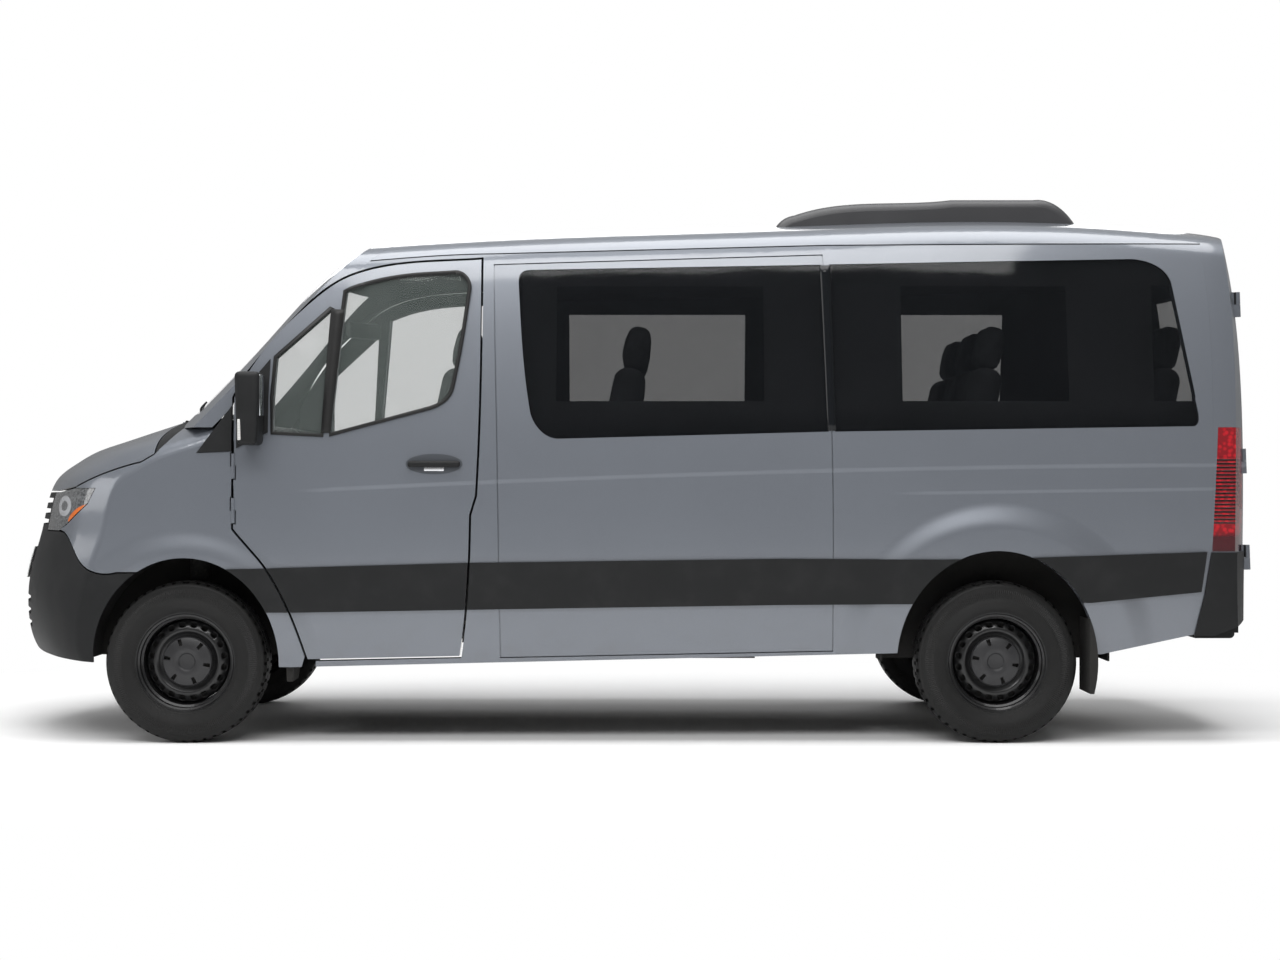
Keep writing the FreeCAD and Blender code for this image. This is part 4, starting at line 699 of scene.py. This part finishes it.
def barBetween(mesh, name, front, back, side, lift):
    # Fills the bar between two panes and laps over their edges
    lap, rows = seal["lap"], seal["rows"]
    low = max(min(point.y for point in front), min(point.y for point in back)) + lap
    high = min(max(point.y for point in front), max(point.y for point in back)) - lap
    pairs = []
    for row in range(rows + 1):
        height = low + (high - low) * row / rows
        left, right = paneEdge(front, height, True), paneEdge(back, height, False)
        if left is not None and right is not None:
            pairs.append((Vector((left - lap, height)), Vector((right + lap, height))))
    band(mesh, name, pairs, side, lift, closed=False)


def skinPiece(name, mesh, finish, body, thickness=0.002):
    # A piece drawn as one sheet, thickened evenly to both sides
    bmesh.ops.recalc_face_normals(mesh, faces=mesh.faces[:])
    piece = makePiece(name, mesh, finish, body, 30)
    wall = piece.modifiers.new("thickness", "SOLIDIFY")
    wall.thickness = thickness
    wall.offset = 0


# Rubber round the front door panes and a black bar between them
seal = {
    "inside": 0.004, "outside": 0.013, "lift": 0.0022, "barLift": 0.0032, "coverLift": 0.001, "lap": 0.004,
    "rows": 24,
}
for side, hand in ((-1, "left"), (1, "right")):
    door = "door_" + hand
    panes = loosePanes("door_glass_" + hand)
    mesh = bmesh.new()
    for pane in panes:
        pairs = list(zip(growPane(pane, -seal["inside"]), growPane(pane, seal["outside"])))
        band(mesh, door, pairs, side, seal["lift"])
    for front, back in zip(panes, panes[1:]):
        barBetween(mesh, door, front, back, side, seal["barLift"])
    skinPiece("pane_seal_" + hand, mesh, "rubber", door)

    # Gloss black cover on the pillars between the side panes
    panes = loosePanes("side_glass", side)
    mesh = bmesh.new()
    for front, back in zip(panes, panes[1:]):
        barBetween(mesh, "body_sides", front, back, side, seal["coverLift"])
    skinPiece("pillar_cover_" + hand, mesh, "gloss_black", "shell", 0.001)
print("stage: window trim")


def roundedBox(mesh, low, high, edge, segments=3, taper=None):
    # A box between two corners with its edges rounded; taper narrows its foot to a share along X
    middle, span = (low + high) / 2, high - low
    made = bmesh.ops.create_cube(mesh, size=1.0)["verts"]
    bmesh.ops.scale(mesh, vec=span, verts=made)
    if taper:
        foot = [vert for vert in made if vert.co.z < 0]
        bmesh.ops.scale(mesh, vec=(taper, 1, 1), verts=foot)
    edges = list({item for vert in made for item in vert.link_edges})
    result = bmesh.ops.bevel(
        mesh, geom=edges, offset=edge, segments=segments, affect="EDGES", profile=0.5, material=-1,
        clamp_overlap=True,
    )
    verts = list({vert for vert in made if vert.is_valid} | set(result["verts"]))
    bmesh.ops.translate(mesh, vec=middle, verts=verts)


# Door fittings: cladding and sail as the CAD has them, a tapered mirror with its repeater, and a bar handle
mirror = {
    "beyond": 1.08, "edge": 0.022, "taper": 0.80, "glassInset": 0.014, "glassFoot": 0.13,
    "glassDepth": (-0.004, 0.0015), "lens": (0.016, 0.080), "lensHeight": (0.020, 0.115),
    "lensDepth": (0.012, 0.0002),
}
handle = {
    "zone": (1.2, 1.35), "longest": 0.35, "at": (-0.8475, 1.2605), "steps": 48, "recess": (0.128, 0.046),
    "dish": ((0.0012, 1.0), (0.0016, 0.90), (0.0010, 0.70), (0.0010, 0.35), (0.0010, 0.06)),
    "bar": (0.118, 0.0145), "barDepth": (0.004, 0.026), "barEdge": (0.011, 4),
    "insert": (0.046, 0.013), "insertDepth": (-0.001, 0.008), "insertEdge": (0.006, 3), "insertDrop": 0.019,
}


def handleBlock(door, side, kind, drop=0.0):
    # A rounded block on the door's skin at the handle, between two depths
    mesh = bmesh.new()
    x, z = handle["at"]
    wide, tall = handle[kind]
    skin = skinPlace(door, Vector((x, z)), side, 0).y
    near, outer = [skin + side * depth for depth in handle[kind + "Depth"]]
    low = Vector((x - wide, min(near, outer), z - drop - tall))
    high = Vector((x + wide, max(near, outer), z - drop + tall))
    roundedBox(mesh, low, high, *handle[kind + "Edge"])
    return mesh


for side, hand in ((-1, "left"), (1, "right")):
    door = "door_" + hand
    mesh = nodeCopy("door_trim_" + hand)
    mirrorBox = None
    for group in looseGroups(mesh):
        low = Vector([min(vert.co[axis] for vert in group) for axis in range(3)])
        high = Vector([max(vert.co[axis] for vert in group) for axis in range(3)])
        outside = max(abs(low.y), abs(high.y))
        isMirror = outside > mirror["beyond"]
        level = handle["zone"][0] < low.z and high.z < handle["zone"][1]
        isHandle = level and high.x - low.x < handle["longest"]
        if isMirror:
            mirrorBox = (low, high)
        if isMirror or isHandle:
            bmesh.ops.delete(mesh, geom=list(group), context="VERTS")
    piece = makePiece("door_cladding_" + hand, mesh, "black_plastic", door, 30)
    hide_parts("door_trim_" + hand)

    low, high = mirrorBox
    mesh = bmesh.new()
    roundedBox(mesh, low, high, mirror["edge"], 4, mirror["taper"])
    makePiece("mirror_shell_" + hand, mesh, "black_plastic", door, 40)
    mesh = bmesh.new()
    inset = mirror["glassInset"]
    inner = Vector((high.x + mirror["glassDepth"][0], low.y + inset * 2, low.z + mirror["glassFoot"]))
    outer = Vector((high.x + mirror["glassDepth"][1], high.y - inset * 2, high.z - inset))
    roundedBox(mesh, inner, outer, 0.002, 2)
    makePiece("mirror_glass_" + hand, mesh, "mirror_glass", door, 40)
    mesh = bmesh.new()
    face = low.y if side < 0 else high.y
    inner, outer = [
        Vector((low.x + long, face - side * deep, low.z + tall))
        for long, deep, tall in zip(mirror["lens"], mirror["lensDepth"], mirror["lensHeight"])
    ]
    roundedBox(mesh, Vector(map(min, inner, outer)), Vector(map(max, inner, outer)), 0.004)
    makePiece("mirror_repeater_" + hand, mesh, "repeater", door, 40)

    # The recess is a shallow dish on the skin, coloured with darker paint as painted shade for the shadow in
    # the recess
    x, z = handle["at"]
    turns = [math.tau * step / handle["steps"] for step in range(handle["steps"])]
    mesh = bmesh.new()
    rows = []
    for level, share in handle["dish"]:
        wide, tall = [half * share for half in handle["recess"]]
        spots = [Vector((x + math.cos(turn) * wide, z + math.sin(turn) * tall)) for turn in turns]
        rows.append([mesh.verts.new(skinPlace(door, spot, side, level)) for spot in spots])
    for first, second in zip(rows, rows[1:]):
        for index in range(len(first)):
            follow = (index + 1) % len(first)
            mesh.faces.new((first[index], first[follow], second[follow], second[index]))
    mesh.faces.new(rows[-1])
    bmesh.ops.recalc_face_normals(mesh, faces=mesh.faces[:])
    makePiece("handle_recess_" + hand, mesh, "recess_painted_shade", door, 60)
    mesh = handleBlock(door, side, "bar")
    makePiece("handle_bar_" + hand, mesh, "black_plastic", door, 40)
    mesh = handleBlock(door, side, "insert", handle["insertDrop"])
    makePiece("handle_insert_" + hand, mesh, "bright", door, 40)
print("stage: door fittings")


# Faces that look to the centre line, or at the two ends to a point in the cabin, get a lining
inside = {
    "centre": (0.3, 0, 1.3), "inward": -0.25, "lift": 0.0012,
    "ends": ("windscreen_frame", "rear_frame", "rear_door_left", "rear_door_right"),
    "shell": ("body_sides", "centre_panel", "sliding_door", "roof", "windscreen_frame", "rear_frame"),
    "doors": ("door_left", "door_right", "rear_door_left", "rear_door_right"),
}


def lining(name, body):
    # A dark copy of those faces of a node, lifted a little
    mesh = nodeCopy(name)
    mesh.normal_update()
    outer = []
    for face in mesh.faces:
        out = face.calc_center_median() - Vector(inside["centre"])
        if name not in inside["ends"]:
            out.x = 0
        if face.normal.dot(out.normalized()) > inside["inward"]:
            outer.append(face)
    bmesh.ops.delete(mesh, geom=outer, context="FACES")
    mesh.normal_update()
    for vert in mesh.verts:
        vert.co += vert.normal * inside["lift"]
    makePiece("lining_" + name, mesh, "lining", body, 40)


for name in inside["shell"]:
    lining(name, "shell")
for name in inside["doors"]:
    lining(name, name)

# Trim boards behind the dark side glass, with window openings
board = {
    "inset": 0.030, "thick": 0.003, "tall": (1.385, 1.545, 2.071, 2.200), "openRow": 1,
    "long": (-0.455, -0.300, 0.640, 1.263, 2.015, 2.399, 2.620), "openColumns": (1, 3, 5),
}
for side, hand in ((-1, "left"), (1, "right")):
    mesh = bmesh.new()
    grid = []
    for x in board["long"]:
        spots = [skinPlace("body_sides", Vector((x, z)), side, -board["inset"]) for z in board["tall"]]
        grid.append([mesh.verts.new(spot) for spot in spots])
    for column, (first, second) in enumerate(zip(grid, grid[1:])):
        for row in range(len(board["tall"]) - 1):
            if row != board["openRow"] or column not in board["openColumns"]:
                mesh.faces.new((first[row], second[row], second[row + 1], first[row + 1]))
    skinPiece("window_board_" + hand, mesh, "lining", "shell", board["thick"])
print("stage: linings")


# Blank plates, wipers, the mirror in the cabin and the fittings of the tail
def frontPlace(name, y, z, heading, lift):
    # The place on a node's skin ahead of or behind a point of the front view
    hit, place = nodes[name].ray_cast(Vector((-heading * 5, y, z)), Vector((heading, 0, 0)))[:2]
    return place - Vector((heading * lift, 0, 0)) if hit else None


fittings = {
    "plate": (0.300, 0.150), "plateDepth": 0.004, "frontPlate": {"z": 0.790, "rows": 8, "lift": 0.0012},
    "rear_plate": {
        "on": "rear_door_left", "at": (-0.42, 0.86), "lift": 0.004, "half": (0.003, 0.150, 0.075),
        "edge": (0.002, 2), "finish": "plate", "body": "rear_door_left", "slot": "black_plastic",
    },
    "rear_handle": {
        "on": "rear_door_right", "at": (0.075, 0.98), "lift": 0.006, "half": (0.010, 0.040, 0.075),
        "edge": (0.009, 3), "finish": "black_plastic", "body": "rear_door_right", "slot": "black_plastic",
    },
    "high_stop_lamp": {
        "on": "rear_frame", "at": (0.0, 2.285), "lift": 0.003, "half": (0.006, 0.170, 0.016),
        "edge": (0.004, 3), "finish": "amber", "body": "shell", "slot": "lamp_red",
    },
}
# The front plate follows the bumper's crown in rows
mesh = bmesh.new()
wide, tall = fittings["plate"]
front = fittings["frontPlate"]
rows = []
for step in range(front["rows"] + 1):
    z = front["z"] + tall * (step / front["rows"] - 0.5)
    crown = frontPlace("front_bumper", 0, z, 1, front["lift"])
    x = max(crown.x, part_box("front_bumper")[0].x + 0.0004)
    rows.append([mesh.verts.new((x, y, z)) for y in (-wide / 2, wide / 2)])
for (first, second), (third, fourth) in zip(rows, rows[1:]):
    mesh.faces.new((first, second, fourth, third))
made = bmesh.ops.extrude_face_region(mesh, geom=mesh.faces[:])["geom"]
back = [part for part in made if isinstance(part, bmesh.types.BMVert)]
bmesh.ops.translate(mesh, vec=(fittings["plateDepth"], 0, 0), verts=back)
bmesh.ops.recalc_face_normals(mesh, faces=mesh.faces[:])
makePiece("front_plate", mesh, "plate", "shell", 40)

for name in ("rear_plate", "rear_handle", "high_stop_lamp"):
    part = fittings[name]
    mesh = bmesh.new()
    place = frontPlace(part["on"], part["at"][0], part["at"][1], -1, part["lift"])
    half = Vector(part["half"])
    roundedBox(mesh, place - half, place + half, *part["edge"])
    makePiece(name, mesh, part["finish"], part["body"], 40)

wiper = {
    "from": (0.62, 1.500), "to": (0.02, 1.545), "steps": 12, "half": 0.008, "lift": 0.010, "thick": 0.009,
}
for shift, hand in ((0.0, "left"), (-0.66, "right")):
    mesh = bmesh.new()
    (firstY, firstZ), (lastY, lastZ) = wiper["from"], wiper["to"]
    rows = []
    for step in range(wiper["steps"] + 1):
        share = step / wiper["steps"]
        y = firstY + (lastY - firstY) * share + shift
        z = firstZ + (lastZ - firstZ) * share
        heights = (z - wiper["half"], z + wiper["half"])
        edges = [frontPlace("windscreen", y, height, 1, wiper["lift"]) for height in heights]
        if all(edges):
            rows.append([mesh.verts.new(edge) for edge in edges])
    for (first, second), (third, fourth) in zip(rows, rows[1:]):
        mesh.faces.new((first, second, fourth, third))
    skinPiece("wiper_blade_" + hand, mesh, "rubber", "shell", wiper["thick"])

cabinMirror = {
    "at": (-1.290, 0.0, 1.925), "size": (0.030, 0.240, 0.078), "turn": -32, "edge": (0.012, 4),
    "stem": ((-0.085, -0.010, 0.0), (-0.010, 0.010, 0.020)), "stemEdge": (0.006, 2),
}
mesh = bmesh.new()
half = Vector(cabinMirror["size"]) / 2
roundedBox(mesh, -half, half, *cabinMirror["edge"])
roundedBox(mesh, Vector(cabinMirror["stem"][0]), Vector(cabinMirror["stem"][1]), *cabinMirror["stemEdge"])
turn = Matrix.Rotation(math.radians(cabinMirror["turn"]), 4, "Z")
place = Matrix.Translation(Vector(cabinMirror["at"])) @ turn
bmesh.ops.transform(mesh, matrix=place, verts=mesh.verts[:])
makePiece("cabin_mirror", mesh, "soft_plastic", "shell", 40)
print("stage: fittings")


# Seats: cushion, back and headrest as stuffed pads, swollen by a cloth pass, with sewn channels across
seat = {
    "cushion": (0.46, 0.45, 0.115), "back": (0.125, 0.44, 0.64), "headrest": (0.105, 0.26, 0.20), "lean": 12,
    "cushionTurn": -4, "cushionFoot": 0.325, "backFoot": (-0.02, 0.36), "backGap": 0.03, "headGap": 0.02,
    "edge": 0.36,
    "voxel": 0.009, "pressure": 4.0, "frames": 20, "cap": 0.012, "faces": 5000,
    "channel": 0.007, "channelWidth": 0.09, "channelZone": (0.4, 0.42),
    "channels": {"cushion": 4, "back": 4, "headrest": 0},
    "floor": 0.700, "frontSide": 0.48, "benchSides": (-0.552, -0.048, 0.552), "rows": 4, "rowPitch": 0.8246,
}


def plainPad(size):
    # A box of the pad's size with well rounded edges
    mesh = bmesh.new()
    made = bmesh.ops.create_cube(mesh, size=1.0)["verts"]
    bmesh.ops.scale(mesh, vec=size, verts=made)
    bmesh.ops.bevel(
        mesh, geom=mesh.edges[:], offset=min(size) * seat["edge"], segments=4, affect="EDGES", profile=0.5,
        material=-1,
    )
    return mesh


def evaluated(thing):
    graph = bpy.context.evaluated_depsgraph_get()
    return bpy.data.meshes.new_from_object(thing.evaluated_get(graph))


def stuffedPad(size, channels):
    # Remeshes a plain pad, lets a cloth pass swell it, thins it and presses the channels in
    shape = plainPad(size)
    data = bpy.data.meshes.new("padShape")
    shape.to_mesh(data)
    shape.free()
    thing = bpy.data.objects.new("padShape", data)
    bpy.context.scene.collection.objects.link(thing)
    skin = thing.modifiers.new("skin", "REMESH")
    skin.mode = "VOXEL"
    skin.voxel_size = seat["voxel"]
    start = evaluated(thing)
    thing.modifiers.clear()
    thing.data = start
    fill = thing.modifiers.new("fill", "CLOTH")
    fill.settings.use_pressure = True
    fill.settings.uniform_pressure_force = seat["pressure"]
    fill.settings.effector_weights.gravity = 0
    fill.point_cache.frame_start = 1
    fill.point_cache.frame_end = seat["frames"]
    for number in range(1, seat["frames"] + 1):
        bpy.context.scene.frame_set(number)
    swollen = evaluated(thing)
    for before, after in zip(start.vertices, swollen.vertices):
        move = after.co - before.co
        if move.length > seat["cap"]:
            after.co = before.co + move.normalized() * seat["cap"]
    thing.modifiers.clear()
    thing.data = swollen
    bpy.context.scene.frame_set(1)
    thin = thing.modifiers.new("thin", "DECIMATE")
    thin.ratio = min(1.0, seat["faces"] / (2 * len(thing.data.polygons)))
    done = evaluated(thing)
    bpy.data.objects.remove(thing)
    flat = 0 if size[0] < size[2] else 2
    deep, wide = seat["channelZone"]
    for vert in done.vertices if channels else []:
        along = vert.co.y / size[1] * channels
        groove = math.exp(-((along - round(along)) / seat["channelWidth"]) ** 2)
        if abs(vert.co[flat]) > size[flat] * deep and abs(vert.co.y) < size[1] * wide:
            vert.co[flat] -= math.copysign(seat["channel"] * groove, vert.co[flat])
    return done


padShapes = {name: stuffedPad(seat[name], channels) for name, channels in seat["channels"].items()}


def softSeats(name, places, node):
    cushion, back, head = seat["cushion"], seat["back"], seat["headrest"]
    lean = math.radians(seat["lean"])
    up = Vector((math.sin(lean), 0, math.cos(lean)))
    mesh = bmesh.new()
    for foot in places:
        base = foot + Vector((cushion[0] + seat["backFoot"][0], 0, seat["backFoot"][1]))
        middle = Vector((cushion[0] / 2, 0, seat["cushionFoot"] + cushion[2] / 2))
        for pad, centre, turn in (
            ("cushion", foot + middle, seat["cushionTurn"]),
            ("back", base + up * (back[2] / 2 + seat["backGap"]), seat["lean"]),
            ("headrest", base + up * (back[2] + head[2] / 2 + seat["headGap"]), seat["lean"]),
        ):
            known = len(mesh.verts)
            mesh.from_mesh(padShapes[pad])
            mesh.verts.ensure_lookup_table()
            place = Matrix.Translation(centre) @ Matrix.Rotation(math.radians(turn), 4, "Y")
            bmesh.ops.transform(mesh, matrix=place, verts=mesh.verts[known:])
    piece = makePiece(name, mesh, "seat_fabric", "shell", 60)
    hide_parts(node)


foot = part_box("front_seats")[0].x
places = [Vector((foot, side * seat["frontSide"], seat["floor"])) for side in (-1, 1)]
softSeats("front_seat_pads", places, "front_seats")
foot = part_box("passenger_benches")[0].x
rows = [foot + seat["rowPitch"] * row for row in range(seat["rows"])]
places = [Vector((x, y, seat["floor"])) for x in rows for y in seat["benchSides"]]
softSeats("bench_pads", places, "passenger_benches")
print("stage: seats")


# Floor, backdrop and light: white for the camera far from the vehicle, a plain diffuse floor near it
item, m = material("studioFloor")
spread = m.node("ShaderNodeVectorMath", {"operation": "MULTIPLY"}, {0: m.coords(), 1: (0.62, 1.0, 1.0)})
far = m.node("ShaderNodeVectorMath", {"operation": "LENGTH"}, {0: spread}, out="Value")
seen = m.node("ShaderNodeLightPath", out="Is Camera Ray")
mottle = m.noise(3, 2, 0.5)
colour = m.blend(mottle, shade(0.90, 0.90, 0.90), shade(0.93, 0.93, 0.93))
matt = m.node("ShaderNodeBsdfDiffuse", {}, {"Color": colour})
glow = m.node("ShaderNodeEmission", {}, {"Color": shade(1, 1, 1), "Strength": 1.0})
both = m.node("ShaderNodeMixShader", {}, {0: m.smooth(far, 1.9, 3.6) * seen, 1: matt, 2: glow})
m.node("ShaderNodeOutputMaterial", {}, {"Surface": both})
mesh = bmesh.new()
bmesh.ops.create_grid(mesh, x_segments=2, y_segments=2, size=60)
data = bpy.data.meshes.new("studioFloor")
mesh.to_mesh(data)
mesh.free()
data.materials.append(item)
floor = bpy.data.objects.new("studioFloor", data)
bpy.context.scene.collection.objects.link(floor)

world = bpy.data.worlds.new("studio")
bpy.context.scene.world = world
m = Shader(world)
sky = m.node("ShaderNodeTexCoord", out="Generated")
tone = m.ramp(m.axis("Z", sky) * 0.5 + 0.5, (0.30, 0.42), (0.52, 0.62), (0.75, 0.95))
path = m.node("ShaderNodeLightPath", out="Is Camera Ray")
through = m.node("ShaderNodeLightPath", out="Is Transmission Ray")
plain = m.node("ShaderNodeMath", {"operation": "MAXIMUM"}, {0: path, 1: through})
back = m.node("ShaderNodeBackground", {}, {"Color": tone, "Strength": 0.33})
white = m.node("ShaderNodeBackground", {}, {"Color": shade(1, 1, 1), "Strength": 1.0})
both = m.node("ShaderNodeMixShader", {}, {0: plain, 1: back, 2: white})
m.node("ShaderNodeOutputWorld", {}, {"Surface": both})

lamps = {
    "overhead": {"at": (0, -1.0, 6.5), "aim": (0, 0, 0.5), "size": (9.0, 4.5), "power": 560},
    "nearSide": {"at": (-1.0, -8.0, 7.2), "aim": (0, 0, 0.8), "size": (9.0, 2.5), "power": 520},
    "front": {"at": (-8.5, -2.5, 3.5), "aim": (-1.5, 0, 1.0), "size": (4.0, 3.0), "power": 95},
    "rear": {"at": (8.5, 2.5, 4.5), "aim": (1.5, 0, 1.0), "size": (4.0, 3.0), "power": 110},
    "farSide": {"at": (0.5, 8.5, 5.0), "aim": (0, 0, 1.0), "size": (9.0, 3.0), "power": 190},
}
for name, lamp in lamps.items():
    data = bpy.data.lights.new(name, "AREA")
    data.shape = "RECTANGLE"
    data.size, data.size_y = lamp["size"]
    data.energy = lamp["power"]
    thing = bpy.data.objects.new(name, data)
    thing.location = lamp["at"]
    thing.rotation_euler = (Vector(lamp["aim"]) - Vector(lamp["at"])).to_track_quat("-Z", "Y").to_euler()
    bpy.context.scene.collection.objects.link(thing)

# The photo's camera: level, square on to the left side
view = {"at": (0.078, -10.88, 1.189), "lens": 61.8, "sensor": 36.0}
data = bpy.data.cameras.new("photoView")
data.lens = view["lens"]
data.sensor_width = view["sensor"]
camera = bpy.data.objects.new("photoView", data)
camera.location = view["at"]
camera.rotation_euler = (math.radians(90), 0, 0)
bpy.context.scene.collection.objects.link(camera)
bpy.context.scene.camera = camera
bpy.context.scene.view_settings.view_transform = "Standard"
print("stage: studio")
